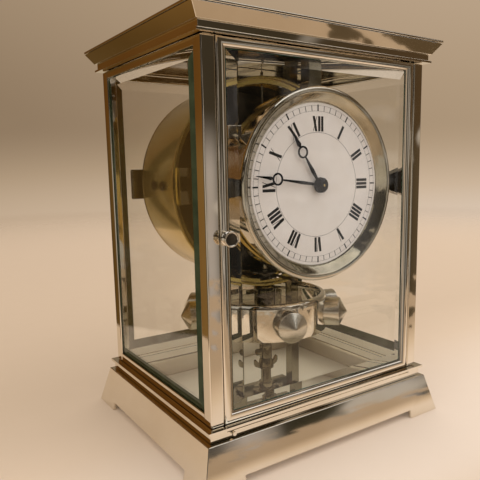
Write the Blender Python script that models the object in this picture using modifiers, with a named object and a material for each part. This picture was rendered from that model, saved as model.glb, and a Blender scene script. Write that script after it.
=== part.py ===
"""An atmospheric clock: a glazed metal case with a hinged front door, and inside it a portal
that carries a fixed drum with its turning motor, a round movement with dial and hands, and a
slow horizontal balance that hangs on a wire.

Metres, +Z up, the dial faces -Y. The origin is the centre of the footprint at the table.
"""
import bmesh
import bpy
from math import cos, pi, radians, sin, sqrt
from mathutils import Matrix, Vector

# Clearances
SEAT = 0.0003            # between two pieces that touch
RUN = 0.00008            # radial, of a pivot in its hole
MESH = 0.00015           # how far a gear's tips stay inside its pitch circle
OVERRUN = 0.004          # how far a cutter reaches past what it cuts

# Case: the frame of posts and rails, then what lies outside it
FRAME_WIDTH = 0.1535
FRAME_DEPTH = 0.1319
FRAME_HEIGHT = 0.1915
WALL = 0.0034            # rails, and the inner faces of all rings
POST = 0.0078
RAIL_LOW = 0.0055
RAIL_TOP = 0.0043
EDGE = 0.0006            # bevel on posts and rails
SKIRT_HEIGHT = 0.0234
SKIRT_OUT_LOW = 0.0104
SKIRT_OUT_TOP = 0.00435
SKIRT_WALL = 0.0025
FOOT_LENGTH = 0.0245
FOOT_CUT = 0.0048
FLOOR_LOW = 0.0051
FLOOR_THICK = 0.0012
FOOT_BLOCK = 0.014
BAND_HEIGHT = 0.0046
BAND_OUT = 0.0017
GROOVE_DEPTH = 0.0005
GROOVE_HEIGHT = 0.0005
GROOVE_END = 0.0092
LEDGE_THICK = 0.0014
LEDGE_OUT = 0.0035
LIP_THICK = 0.0012
LIP_OUT = 0.0036
CROWN_BAND = 0.0034
CROWN_BAND_OUT = 0.0023
FLARE_HEIGHT = 0.0063
FLARE_OUT_LOW = 0.00365
FLARE_OUT_TOP = 0.0082
LID_THICK = 0.0014
LID_OUT = 0.0084
PANE_EDGE = 0.0016
PANE_CROWN = 0.0009
PANE_BEVEL = 0.006
PANE_INSET = 0.0005
PEG_RADIUS = 0.0011
PEG_LENGTH = 0.0019
PEG_INSET = 0.0115

# Door
STILE = 0.00575
DOOR_DEPTH = 0.0033
DOOR_RAIL_LOW = 0.0055
DOOR_RAIL_TOP = 0.0048
DOOR_EDGE = 0.001
HINGE_INSET = 0.00175
HINGE_PIN = 0.0008
HINGE_REACH = 0.0022
KNOB_HEIGHT = 0.1267
KNOB_RADIUS = 0.0039
KNOB_LENGTH = 0.0056
KNOB_STEM = 0.0008
TONGUE_REACH = 0.0055
TONGUE_HALF = 0.0012
TONGUE_THICK = 0.0012
# Radius and length of the knob, from its face to its foot
KNOB_SHARES = [(0, 0.93), (0.80, 0.93), (0.86, 1), (1, 0.97), (1, 0.80), (0.64, 0.68), (0.52, 0.54),
               (0.62, 0.40), (0.86, 0.28), (0.93, 0.16), (0.84, 0.05), (0.56, 0)]

# Movement stand and portal
WIRE_Y = -0.0025         # the balance axis and the suspension wire
STAND_HALF_WIDTH = 0.0265
STAND_FRONT = 0.0125
STAND_BACK = 0.015
STAND_FOOT_HEIGHT = 0.0018
STAND_FOOT_WIDTH = 0.0125
STAND_FOOT_DEPTH = 0.008
STAND_TOE_WIDTH = 0.007
STAND_THICK = 0.0022
LEG_WIDTH = 0.006
LEG_DEPTH = 0.007
PORTAL_HALF_WIDTH = 0.0255
ARCH_HEIGHT = 0.0063
ARCH_ROUND = 0.004
COLLET_RADIUS = 0.0015
COLLET_LENGTH = 0.0022

# Drum and its fittings
CENTRE_Z = 0.1504        # the height of the drum, the movement and the hands
DRUM_FRONT = -0.011
DRUM_BACK = 0.041
DRUM_LIP = 0.0654
DRUM_LIP_LENGTH = 0.0016
DRUM_NECK = 0.0646
DRUM_NECK_Y = -0.0082
DRUM_TAIL = 0.0612
DRUM_WALL = 0.0015
DRUM_MOUTH = 0.061
SLOT_FRONT = -0.0073
SLOT_BACK = 0.0023
SLOT_SIDE = 0.0015
COVER_THICK = 0.0015
COVER_BOSS = 0.006
COVER_BOSS_LENGTH = 0.002
STRAP_HALF_WIDTH = 0.0605
STRAP_HALF_HEIGHT = 0.0105
STRAP_THICK = 0.002
STRAP_TAB_END = 0.0222
STRAP_BLOCK = 0.005
SCREW_RADIUS = 0.0012
SCREW_HEAD = 0.003
SCREW_HEAD_THICK = 0.0009
SCREW_FIRST_Y = 0.005
SCREW_SECOND_Y = 0.0195
REAR_BAR_FRONT = 0.047
REAR_BAR_THICK = 0.003
REAR_BAR_HALF_WIDTH = 0.066
REAR_BAR_HALF_HEIGHT = 0.0095
REAR_PILLAR = 0.003
REAR_PILLAR_X = 0.04
BRIDGE_THICK = 0.003
BRIDGE_HALF_HEIGHT = 0.0105

# Motor
AXLE_RADIUS = 0.003
AXLE_JOURNAL = 0.0015
AXLE_SHOULDER = 0.0006
MOTOR_GEAR = 0.012       # pitch radius
MOTOR_GEAR_Y = 0.0069
WINDER_PINION = 0.004    # pitch radius
GEAR_THICK = 0.002
MOTOR_Y = 0.0315
MOTOR_CASE = 0.0592
MOTOR_CASE_WALL = 0.001
MOTOR_CASE_FRONT = 0.0226
MOTOR_CASE_BACK = 0.0395
MOTOR_HUB = 0.009
MOTOR_HUB_HALF = 0.0085
MOTOR_ARM_HALF_WIDTH = 0.0035
MOTOR_ARM_HALF_THICK = 0.001
MOTOR_ARM_END = 0.0335
VESSEL_RING = 0.04
VESSEL_TUBE = 0.006
VESSEL_GLASS = 0.001
VESSEL_PORT = 0.0012
FILL_ANGLE = 130         # degrees of the ring that the mercury fills
TUBE_SIDES = 8

# Movement
PLATE_RADIUS = 0.04
PLATE_THICK = 0.002
PLATE_BACK = -0.0145     # rear face of the back plate
PLATE_SPACE = 0.0255     # between the two plates
PILLAR_RADIUS = 0.002
PILLAR_CIRCLE = 0.034
SPACER_X = 0.03
SPACER_RADIUS = 0.003
PIVOT = 0.0008
ARBOR = 0.0012
ARBOR_SHOULDER = 0.0006
WINDER_RADIUS = 0.002
BARREL_GEAR = 0.0128
CENTRE_PINION = 0.0032
CENTRE_GEAR = 0.0128
THIRD_PINION = 0.0064
THIRD_GEAR = 0.0106
ESCAPE_PINION = 0.0053
ESCAPE_TIP = 0.0082
BARREL_LENGTH = 0.0115
BARREL_RIM = 0.0005      # how far the barrel's teeth stand past its drum
WHEEL_THICK = 0.001
PINION_LENGTH = 0.003
BARREL_PLANE = 0.005     # distances behind which each wheel lies, from the back plate
THIRD_PLANE = 0.0105
ESCAPE_PLANE = 0.0165
CENTRE_PLANE = 0.0205
PALLET_DROP = 0.0125     # pallet arbor below the escape arbor
PALLET_END_Z = 0.0922
CRUTCH = 0.0007
CANNON = 0.0031          # pitch radii of the motion work
MOTION_GEAR = 0.0093
MOTION_PINION = 0.00248
HOUR_GEAR = 0.00992
HOUR_PIPE = 0.0021
HOUR_PIPE_WALL = 0.0008

# Dial group
DIAL_FACE = -0.0567
DIAL_RADIUS = 0.047
DIAL_THICK = 0.001
DIAL_FOOT = 0.002
DIAL_FOOT_X = 0.03
BEZEL_SIGHT = 0.0452     # inner edge over the dial
BEZEL_CREST = 0.0505
BEZEL_RADIUS = 0.0537
BEZEL_FRONT = -0.0618
BEZEL_COVER = 0.052
BEZEL_BACK = -0.04
BEZEL_WALL = 0.0015
BEZEL_SEAT_DEPTH = 0.003
BEZEL_ROLL = 0.0032
HAND_GAP = 0.0012
HAND_THICK = 0.0005
HAND_BOSS = 0.004
MINUTE_LENGTH = 0.0443
MINUTE_RING_AT = 0.0304
MINUTE_ANGLE = -82.4
HOUR_LENGTH = 0.0324
HOUR_RING_AT = 0.0219
HOUR_ANGLE = -33.8
HOUR_HAND_Y = -0.0584
HAND_RING = 0.0034
HAND_HOLE = 0.0022
HAND_STEM = 0.00055
CAP_LENGTH = 0.0022
NECK_HALF_WIDTH = 0.00435
NECK_FLARE = 0.0085
NECK_FLARE_RISE = 0.006
NECK_FRONT = -0.0543
NECK_BACK = -0.047
BAR_FRONT = -0.054
BAR_THICK = 0.003
BAR_HALF_HEIGHT = 0.0047
LUG_START = 0.0046       # from the bezel's cover to where the bar begins to widen
LUG_HALF_HEIGHT = 0.0088
LUG_TIP = 0.001
LUG_INSET = 0.00425      # from the outside of the frame
BRACKET_OUT = 0.0495
BRACKET_IN = 0.036
BRACKET_LOW = 0.176
BRACKET_HEIGHT = 0.0067
BRACKET_FRONT = -0.0475
BRACKET_DEPTH = 0.005

# Balance and its lock
RING_RADIUS = 0.0404
RING_WALL = 0.0024
RING_LOW = 0.057
RING_SHOULDER_Z = 0.0762
RING_TOP = 0.0798
RING_MOUTH = 0.0366
RING_CREST = 0.038
SPOKE_HALF_WIDTH = 0.0045
SPOKE_LOW = 0.062
SPOKE_THICK = 0.002
HUB_RADIUS = 0.007
HUB_TOP = 0.0843
BOSS_RADIUS = 0.006
BOSS_LOW = 0.0555
SPIGOT = 0.002
BOSS_LIP = 0.003
STAR_LOW = 0.0888
STAR_TIP = 0.0088
STAR_ROOT = 0.0066
STAR_POINTS = 12
STAR_PLATE = 0.0012
STAR_DRUM = 0.0052
STAR_DRUM_HEIGHT = 0.0022
WIRE_RADIUS = 0.0003
WIRE_PIN = 0.0009
WIRE_PIN_Z = 0.2165
WIRE_PIN_LENGTH = 0.003
CLAMP_RADIUS = 0.0016
CLAMP_HEIGHT = 0.004
WEIGHT_RADIUS = 0.0092
WEIGHT_Z = 0.0678
WEIGHT_SHOULDER = 0.049
WEIGHT_POINT = 0.0539
WEIGHT_ANGLES = (-105.5, 74.5, -46, 134, -17, 163)
LOCK_FLANGE = 0.009
LOCK_FLANGE_THICK = 0.0018
LOCK_FOOT = 0.005
LOCK_FOOT_TOP = 0.0175
LOCK_THREAD = 0.0036
LOCK_THREAD_TOP = 0.0341
LOCK_STEM = 0.002
LOCK_STEM_TOP = 0.0505
SLEEVE_RADIUS = 0.0042
SLEEVE_CUP = 0.0054
SLEEVE_CUP_HEIGHT = 0.004
SLEEVE_TOP = 0.0524
NUT_LOW = 0.0274
NUT_RADIUS = 0.0052
NUT_REACH = 0.0092
NUT_WING_THICK = 0.0016
NUT_WING_RISE = 0.0008
THUMB_Z = 0.0388
THUMB_HEAD = 0.0022
THUMB_HEAD_LENGTH = 0.0028
THUMB_SHANK = 0.001

# How round things are: sides of large, middling and small turned pieces
LARGE = 40
MIDDLE = 20
SMALL = 12

# Heights and halves that follow from the sizes above
HALF_WIDTH = FRAME_WIDTH / 2
HALF_DEPTH = FRAME_DEPTH / 2
BAND_LOW = SKIRT_HEIGHT + SEAT
LEDGE_LOW = BAND_LOW + BAND_HEIGHT + SEAT
FRAME_LOW = LEDGE_LOW + LEDGE_THICK + SEAT
FRAME_TOP = FRAME_LOW + FRAME_HEIGHT
LIP_LOW = FRAME_TOP + SEAT
CROWN_LOW = LIP_LOW + LIP_THICK + SEAT
FLARE_LOW = CROWN_LOW + CROWN_BAND
LID_LOW = FLARE_LOW + FLARE_HEIGHT + SEAT
CEILING = LID_LOW - SEAT
FLOOR_TOP = FLOOR_LOW + FLOOR_THICK
POST_INNER_X = HALF_WIDTH - POST
POST_INNER_Y = HALF_DEPTH - POST
DOOR_HALF = POST_INNER_X - SEAT
DOOR_BACK = -HALF_DEPTH + DOOR_DEPTH
HINGE_X = DOOR_HALF - HINGE_INSET
HINGE_Y = -HALF_DEPTH + DOOR_DEPTH / 2
KNOB_X = STILE / 2 - DOOR_HALF
STEM_BACK = DOOR_BACK + SEAT
STAND_LOW = FLOOR_TOP + SEAT
STAND_PLATE_LOW = STAND_LOW + STAND_FOOT_HEIGHT
STAND_TOP = STAND_PLATE_LOW + STAND_THICK
ARCH_LOW = CEILING - ARCH_HEIGHT
LEG_FRONT = WIRE_Y - LEG_DEPTH / 2
LEG_BACK = WIRE_Y + LEG_DEPTH / 2
LEG_INNER_X = PORTAL_HALF_WIDTH - LEG_WIDTH
STRAP_BACK = DRUM_NECK_Y - SEAT
STRAP_FRONT = STRAP_BACK - STRAP_THICK
BRIDGE_FRONT = LEG_BACK + SEAT
BRIDGE_BACK = BRIDGE_FRONT + BRIDGE_THICK
WINDER_X = MOTOR_GEAR + WINDER_PINION
COVER_FRONT = DRUM_BACK + SEAT
COVER_BACK = COVER_FRONT + COVER_THICK
BACK_PLATE_FRONT = PLATE_BACK - PLATE_THICK
FRONT_PLATE_BACK = BACK_PLATE_FRONT - PLATE_SPACE
FRONT_PLATE_FRONT = FRONT_PLATE_BACK - PLATE_THICK
THIRD_DISTANCE = CENTRE_GEAR + THIRD_PINION
THIRD_X = -THIRD_DISTANCE / sqrt(2)
THIRD_Z = CENTRE_Z - THIRD_DISTANCE / sqrt(2)
ESCAPE_DISTANCE = THIRD_GEAR + ESCAPE_PINION
ESCAPE_Z = THIRD_Z - sqrt(ESCAPE_DISTANCE ** 2 - THIRD_X ** 2)
PALLET_Z = ESCAPE_Z - PALLET_DROP
MOTION_DISTANCE = CANNON + MOTION_GEAR
MOTION_X = MOTION_DISTANCE / sqrt(2)
MOTION_Z = CENTRE_Z - MOTION_DISTANCE / sqrt(2)
DIAL_BACK = DIAL_FACE + DIAL_THICK
MINUTE_HAND_Y = HOUR_HAND_Y - HAND_GAP
BAR_BACK = BAR_FRONT + BAR_THICK
BAR_END = BEZEL_COVER + LUG_START
LUG_END = HALF_WIDTH - LUG_INSET
LUG_FLARE_END = LUG_END - LUG_TIP
SPOKE_TOP = SPOKE_LOW + SPOKE_THICK
STAR_TOP = STAR_LOW + 2 * STAR_PLATE + STAR_DRUM_HEIGHT
CLAMP_TOP = STAR_TOP + SEAT + CLAMP_HEIGHT
WIRE_TOP = ARCH_LOW - COLLET_LENGTH - SEAT
LOCK_LOW = STAND_TOP + SEAT
NUT_TOP = LOCK_THREAD_TOP
SLEEVE_LOW = NUT_TOP + SEAT

# Colour, roughness, metallic and transmission of each finish
FINISHES = {
    "nickel": ((0.62, 0.58, 0.50), 0.08, 1, 0),
    "gilt": ((0.50, 0.38, 0.18), 0.12, 1, 0),
    "steel": ((0.16, 0.15, 0.13), 0.25, 1, 0),
    "black": ((0.015, 0.015, 0.014), 0.30, 0, 0),
    "enamel": ((0.80, 0.74, 0.69), 0.20, 0, 0),
    "floor": ((0.62, 0.57, 0.48), 0.25, 0, 0),
    "glass": ((0.86, 0.95, 0.90), 0.02, 0, 1),
    "mercury": ((0.80, 0.80, 0.82), 0.05, 1, 0),
}
FACINGS = {"up": (0, 0, 0), "front": (pi / 2, 0, 0), "left": (0, -pi / 2, 0)}


# Helpers

def clear_scene():
    for obj in list(bpy.data.objects):
        bpy.data.objects.remove(obj, do_unlink=True)


def new_collection(name):
    group = bpy.data.collections.new(name)
    bpy.context.scene.collection.children.link(group)
    return group


clear_scene()
PARTS = new_collection("atmospheric_clock")
CUTTERS = new_collection("cutters")


def give_finish(obj, finish):
    """The object's own material, made from the finish's values."""
    colour, roughness, metallic, transmission = FINISHES[finish]
    material = bpy.data.materials.new(obj.name)
    material.use_nodes = True
    shader = material.node_tree.nodes["Principled BSDF"]
    shader.inputs["Base Color"].default_value = (*colour, 1)
    shader.inputs["Roughness"].default_value = roughness
    shader.inputs["Metallic"].default_value = metallic
    shader.inputs["Transmission Weight"].default_value = transmission
    obj.data.materials.clear()
    obj.data.materials.append(material)


def place_mesh(name, bm, finish, at=(0, 0, 0), turn=(0, 0, 0)):
    mesh = bpy.data.meshes.new(name)
    bm.to_mesh(mesh)
    bm.free()
    obj = bpy.data.objects.new(name, mesh)
    obj.location = at
    obj.rotation_euler = turn
    PARTS.objects.link(obj)
    give_finish(obj, finish)
    return obj


def bevel(obj, width, segments=1):
    modifier = obj.modifiers.new("edges", "BEVEL")
    modifier.width = width
    modifier.segments = segments
    modifier.limit_method = "ANGLE"
    return obj


def box(name, low, high, finish, edge=0):
    """A block between two corners, its edges bevelled by edge."""
    low = Vector(low)
    high = Vector(high)
    bm = bmesh.new()
    bmesh.ops.create_cube(bm, size=1)
    bmesh.ops.scale(bm, vec=high - low, verts=bm.verts)
    obj = place_mesh(name, bm, finish, at=(low + high) / 2)
    return bevel(obj, edge) if edge else obj


def frustum(name, half_low, half_top, low, top, finish):
    """A block whose upper face is larger or smaller than its lower one."""
    bm = bmesh.new()
    bmesh.ops.create_cube(bm, size=2)
    for vert in bm.verts:
        half = half_top if vert.co.z > 0 else half_low
        vert.co.x *= half[0]
        vert.co.y *= half[1]
        vert.co.z *= (top - low) / 2
    return place_mesh(name, bm, finish, at=(0, 0, (low + top) / 2))


def turned(name, profile, finish, facing="up", at=(0, 0, 0), turn=None, steps=MIDDLE):
    """A turned solid. The profile's points are (radius, place along the axis): down the outer
    side from the top, the front or the left, and back up the bore if there is one."""
    sign = 1 if facing == "up" else -1
    bm = bmesh.new()
    verts = [bm.verts.new((radius, 0, sign * along)) for radius, along in profile]
    for first, second in zip(verts, verts[1:]):
        bm.edges.new((first, second))
    if profile[0][0] > 0:
        bm.edges.new((verts[-1], verts[0]))
    obj = place_mesh(name, bm, finish, at=at, turn=turn or FACINGS[facing])
    screw = obj.modifiers.new("turn", "SCREW")
    screw.steps = steps
    screw.render_steps = steps
    screw.use_merge_vertices = True
    screw.merge_threshold = 0.00001
    return obj


def rod(name, radius, start, end, finish, facing="up", at=(0, 0, 0), steps=SMALL):
    """A plain cylinder; start is its top, its front or its left end."""
    profile = [(0, start), (radius, start), (radius, end), (0, end)]
    return turned(name, profile, finish, facing=facing, at=at, steps=steps)


def as_mesh(obj):
    """A mesh in place of a curve, its caps welded to its walls."""
    depsgraph = bpy.context.evaluated_depsgraph_get()
    mesh = bpy.data.meshes.new_from_object(obj.evaluated_get(depsgraph))
    bm = bmesh.new()
    bm.from_mesh(mesh)
    bmesh.ops.remove_doubles(bm, verts=bm.verts, dist=0.000001)
    bm.to_mesh(mesh)
    bm.free()
    solid = bpy.data.objects.new(obj.name, mesh)
    solid.matrix_world = obj.matrix_world
    PARTS.objects.link(solid)
    name = obj.name
    bpy.data.objects.remove(obj)
    solid.name = name
    return solid


def plate(name, outlines, start, end, finish, facing="up", at=(0, 0)):
    """A flat plate: the first outline is its edge, the others are holes in it. start and end
    are its faces, along Z if it faces up and along Y if it faces the front."""
    curve = bpy.data.curves.new(name, "CURVE")
    curve.dimensions = "2D"
    curve.fill_mode = "BOTH"
    curve.extrude = abs(end - start) / 2
    for outline in outlines:
        spline = curve.splines.new("POLY")
        spline.points.add(len(outline) - 1)
        for point, (x, y) in zip(spline.points, outline):
            point.co = (x, y, 0, 1)
        spline.use_cyclic_u = True
    obj = bpy.data.objects.new(name, curve)
    middle = (start + end) / 2
    obj.location = (at[0], at[1], middle) if facing == "up" else (at[0], middle, at[1])
    obj.rotation_euler = FACINGS[facing]
    PARTS.objects.link(obj)
    bpy.context.view_layer.update()
    solid = as_mesh(obj)
    give_finish(solid, finish)
    return solid


def hide_as_cutter(obj):
    obj.hide_render = True
    obj.display_type = "WIRE"
    for group in list(obj.users_collection):
        group.objects.unlink(obj)
    CUTTERS.objects.link(obj)


def combine(obj, others, operation):
    for other in others:
        hide_as_cutter(other)
        modifier = obj.modifiers.new(other.name, "BOOLEAN")
        modifier.operation = operation
        modifier.object = other
        modifier.solver = "EXACT"
    return obj


def cut(obj, *cutters):
    return combine(obj, cutters, "DIFFERENCE")


def unite(obj, *pieces):
    return combine(obj, pieces, "UNION")


def axis_point(name, at):
    """An empty on a joint's axis, which carries the pieces that move on it."""
    empty = bpy.data.objects.new(name, None)
    empty.location = at
    PARTS.objects.link(empty)
    return empty


def carry(empty, *pieces):
    for piece in pieces:
        piece.parent = empty
        piece.matrix_parent_inverse = Matrix.Translation(-empty.location)


def circle(radius, sides, centre=(0, 0)):
    return [(centre[0] + radius * cos(2 * pi * i / sides),
             centre[1] + radius * sin(2 * pi * i / sides)) for i in range(sides)]


def arc(centre, radius, start, end, count):
    """Points from one angle to another, in degrees."""
    angles = [radians(start + (end - start) * i / (count - 1)) for i in range(count)]
    return [(centre[0] + radius * cos(a), centre[1] + radius * sin(a)) for a in angles]


# Where a tooth's four corners lie along its pitch: two at the root, two at the tip
TOOTH_SHARES = (0, 0.45, 0.60, 0.85)


def gear(pitch, teeth, depth_share=0.8):
    """A toothed edge whose tips stay clear of the pitch circle."""
    tip = pitch - MESH
    root = tip - depth_share * pi * pitch / teeth
    places = list(zip((root, root, tip, tip), TOOTH_SHARES))
    return [(radius * cos(2 * pi * (i + share) / teeth), radius * sin(2 * pi * (i + share) / teeth))
            for i in range(teeth) for radius, share in places]


def turn_points(points, degrees):
    """The points turned clockwise about the origin, as a hand turns."""
    c = cos(radians(degrees))
    s = sin(radians(degrees))
    return [(x * c + y * s, y * c - x * s) for x, y in points]


def half_sizes(out):
    return HALF_WIDTH + out, HALF_DEPTH + out


def block_of(name, half, low, top, finish, edge=0):
    return box(name, (-half[0], -half[1], low), (half[0], half[1], top), finish, edge)


def frame_opening(low, top):
    """What is cut out of every ring of the case, flush with the rails."""
    return block_of("opening", half_sizes(-WALL), low - OVERRUN, top + OVERRUN, "nickel")


def ring(name, out, low, top, edge=0):
    return cut(block_of(name, half_sizes(out), low, top, "nickel", edge), frame_opening(low, top))


# Case

def make_base():
    skirt = frustum("base_skirt", half_sizes(SKIRT_OUT_LOW), half_sizes(SKIRT_OUT_TOP), 0, SKIRT_HEIGHT,
                    "nickel")
    slope = (SKIRT_OUT_LOW - SKIRT_OUT_TOP) / SKIRT_HEIGHT
    roof = SKIRT_HEIGHT - SKIRT_WALL
    out_low = SKIRT_OUT_LOW - SKIRT_WALL
    hollow = frustum("hollow", half_sizes(out_low + slope * OVERRUN), half_sizes(out_low - slope * roof),
                     -OVERRUN, roof, "nickel")
    foot_x = HALF_WIDTH + SKIRT_OUT_LOW - FOOT_LENGTH
    foot_y = HALF_DEPTH + SKIRT_OUT_LOW - FOOT_LENGTH
    reach_x, reach_y = half_sizes(SKIRT_OUT_LOW + OVERRUN)
    front_gap = box("front_gap", (-foot_x, -reach_y, -OVERRUN), (foot_x, reach_y, FOOT_CUT), "nickel")
    side_gap = box("side_gap", (-reach_x, -foot_y, -OVERRUN), (reach_x, foot_y, FOOT_CUT), "nickel")
    cut(skirt, hollow, frame_opening(roof, SKIRT_HEIGHT), front_gap, side_gap)

    floor_out = out_low - slope * FLOOR_TOP - SEAT
    floor = block_of("floor_plate", half_sizes(floor_out), FLOOR_LOW, FLOOR_TOP, "floor")
    block_x, block_y = half_sizes(floor_out)
    blocks = []
    for x in (-1, 1):
        for y in (-1, 1):
            low_x, high_x = sorted((x * block_x, x * (block_x - FOOT_BLOCK)))
            low_y, high_y = sorted((y * block_y, y * (block_y - FOOT_BLOCK)))
            blocks.append(box("foot_block", (low_x, low_y, SEAT), (high_x, high_y, FLOOR_LOW + SEAT), "floor"))
    unite(floor, *blocks)

    band = ring("base_band", BAND_OUT, BAND_LOW, BAND_LOW + BAND_HEIGHT)
    front = -HALF_DEPTH - BAND_OUT
    groove_z = LEDGE_LOW - BAND_HEIGHT / 3
    groove_end = POST_INNER_X
    groove = box("groove", (-DOOR_HALF, front - OVERRUN, groove_z),
                 (groove_end - GROOVE_END, front + GROOVE_DEPTH, groove_z + GROOVE_HEIGHT), "steel")
    slot = box("slot", (groove_end - GROOVE_END - SEAT, front - OVERRUN, groove_z - GROOVE_HEIGHT / 2),
               (groove_end, front + 2 * GROOVE_DEPTH, groove_z + GROOVE_HEIGHT), "steel")
    cut(band, groove, slot)
    peg = rod("peg", PEG_RADIUS, front - PEG_LENGTH, front + GROOVE_DEPTH, "nickel", facing="front",
              at=(PEG_INSET - HALF_WIDTH, 0, BAND_LOW + BAND_HEIGHT / 2))
    unite(band, peg)
    ring("base_ledge", LEDGE_OUT, LEDGE_LOW, LEDGE_LOW + LEDGE_THICK)


def make_case_frame():
    """Four corner posts with the rails of the sides and the back brazed between them."""
    posts = []
    for x in (-1, 1):
        for y in (-1, 1):
            low_x, high_x = sorted((x * HALF_WIDTH, x * POST_INNER_X))
            low_y, high_y = sorted((y * HALF_DEPTH, y * POST_INNER_Y))
            posts.append(box("case_frame", (low_x, low_y, FRAME_LOW), (high_x, high_y, FRAME_TOP), "nickel",
                             EDGE))
    reach = sqrt(TONGUE_REACH ** 2 + TONGUE_HALF ** 2) + SEAT
    mortise = box("mortise", (KNOB_X - reach, STEM_BACK - 2 * SEAT, KNOB_HEIGHT - reach),
                  (OVERRUN - POST_INNER_X, STEM_BACK + TONGUE_THICK + SEAT, KNOB_HEIGHT + reach), "steel")
    span_x = POST_INNER_X + WALL
    span_y = POST_INNER_Y + WALL
    rails = []
    for low, top in ((FRAME_LOW, FRAME_LOW + RAIL_LOW), (FRAME_TOP - RAIL_TOP, FRAME_TOP)):
        rails.append(box("rail", (-span_x, HALF_DEPTH - WALL, low), (span_x, HALF_DEPTH - SEAT, top), "nickel"))
        for x in (-1, 1):
            low_x, high_x = sorted((x * (HALF_WIDTH - SEAT), x * (HALF_WIDTH - WALL)))
            rails.append(box("rail", (low_x, -span_y, low), (high_x, span_y, top), "nickel"))
    unite(posts[0], *posts[1:], *rails)
    cut(posts[0], mortise)


def pane(name, width, height, at, turn):
    """Glass with a shallow bevel round its outer face, which is local +Z."""
    bm = bmesh.new()
    bmesh.ops.create_cube(bm, size=1)
    bmesh.ops.scale(bm, vec=(width, height, PANE_EDGE), verts=bm.verts)
    outer = [face for face in bm.faces if face.normal.z > 0]
    bmesh.ops.inset_region(bm, faces=outer, thickness=PANE_BEVEL, depth=0)
    for face in bm.faces:
        if face.select or face in outer:
            for vert in face.verts:
                vert.co.z = PANE_EDGE / 2 + PANE_CROWN
    return place_mesh(name, bm, "glass", at=at, turn=turn)


def make_glass():
    low = FRAME_LOW + RAIL_LOW + SEAT
    top = FRAME_TOP - RAIL_TOP - SEAT
    middle = (low + top) / 2
    deep = 2 * (POST_INNER_Y - SEAT)
    wide = 2 * (POST_INNER_X - SEAT)
    out = PANE_INSET + PANE_CROWN + PANE_EDGE / 2
    pane("glass_left", deep, top - low, (out - HALF_WIDTH, 0, middle), (pi / 2, 0, -pi / 2))
    pane("glass_right", deep, top - low, (HALF_WIDTH - out, 0, middle), (pi / 2, 0, pi / 2))
    pane("glass_rear", wide, top - low, (0, HALF_DEPTH - out, middle), (pi / 2, 0, pi))


def make_crown():
    ring("top_lip", LIP_OUT, LIP_LOW, LIP_LOW + LIP_THICK)
    cornice = block_of("cornice", half_sizes(CROWN_BAND_OUT), CROWN_LOW, FLARE_LOW + SEAT, "nickel")
    flare = frustum("flare", half_sizes(FLARE_OUT_LOW), half_sizes(FLARE_OUT_TOP), FLARE_LOW,
                    LID_LOW - SEAT, "nickel")
    unite(cornice, flare)
    cut(cornice, frame_opening(CROWN_LOW, LID_LOW))
    block_of("lid", half_sizes(LID_OUT), LID_LOW, LID_LOW + LID_THICK, "nickel", SEAT)


# Door

def make_door():
    hinge = axis_point("door_axis", (HINGE_X, HINGE_Y, FRAME_LOW))
    front = -HALF_DEPTH
    stiles = []
    for x in (-1, 1):
        low_x, high_x = sorted((x * DOOR_HALF, x * (DOOR_HALF - STILE)))
        stiles.append(box("door_frame", (low_x, front, FRAME_LOW), (high_x, DOOR_BACK, FRAME_TOP), "nickel",
                          DOOR_EDGE))
    pin_hole = HINGE_PIN + RUN
    holes = []
    for start, end in ((FRAME_LOW + HINGE_REACH + SEAT, FRAME_LOW - OVERRUN),
                       (FRAME_TOP + OVERRUN, FRAME_TOP - HINGE_REACH - SEAT)):
        holes.append(rod("pin_hole", pin_hole, start, end, "steel", at=(HINGE_X, HINGE_Y, 0)))
    holes.append(rod("stem_hole", KNOB_STEM + RUN, front - OVERRUN, DOOR_BACK + OVERRUN, "steel",
                     facing="front", at=(KNOB_X, 0, KNOB_HEIGHT)))
    span = DOOR_HALF - STILE / 2
    rails = [box("rail", (-span, front + SEAT, low), (span, DOOR_BACK - SEAT, top), "nickel")
             for low, top in ((FRAME_LOW, FRAME_LOW + DOOR_RAIL_LOW), (FRAME_TOP - DOOR_RAIL_TOP, FRAME_TOP))]
    unite(stiles[0], stiles[1], *rails)
    cut(stiles[0], *holes)
    low = FRAME_LOW + DOOR_RAIL_LOW + SEAT
    top = FRAME_TOP - DOOR_RAIL_TOP - SEAT
    out = PANE_INSET + PANE_CROWN + PANE_EDGE / 2
    width = 2 * (DOOR_HALF - STILE - SEAT)
    glass = pane("door_glass", width, top - low, (0, front + out, (low + top) / 2), (pi / 2, 0, 0))
    carry(hinge, stiles[0], glass)

    rod("hinge_pin_low", HINGE_PIN, FRAME_LOW + HINGE_REACH, LEDGE_LOW + SEAT, "steel",
        at=(HINGE_X, HINGE_Y, 0))
    rod("hinge_pin_top", HINGE_PIN, LIP_LOW + LIP_THICK - SEAT, FRAME_TOP - HINGE_REACH, "steel",
        at=(HINGE_X, HINGE_Y, 0))
    for name, low, top in (("base_ledge", LEDGE_LOW, LEDGE_LOW + LEDGE_THICK),
                           ("top_lip", LIP_LOW, LIP_LOW + LIP_THICK)):
        hole = rod("pin_hole", pin_hole, top + OVERRUN, low - OVERRUN, "steel", at=(HINGE_X, HINGE_Y, 0))
        cut(bpy.data.objects[name], hole)


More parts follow.
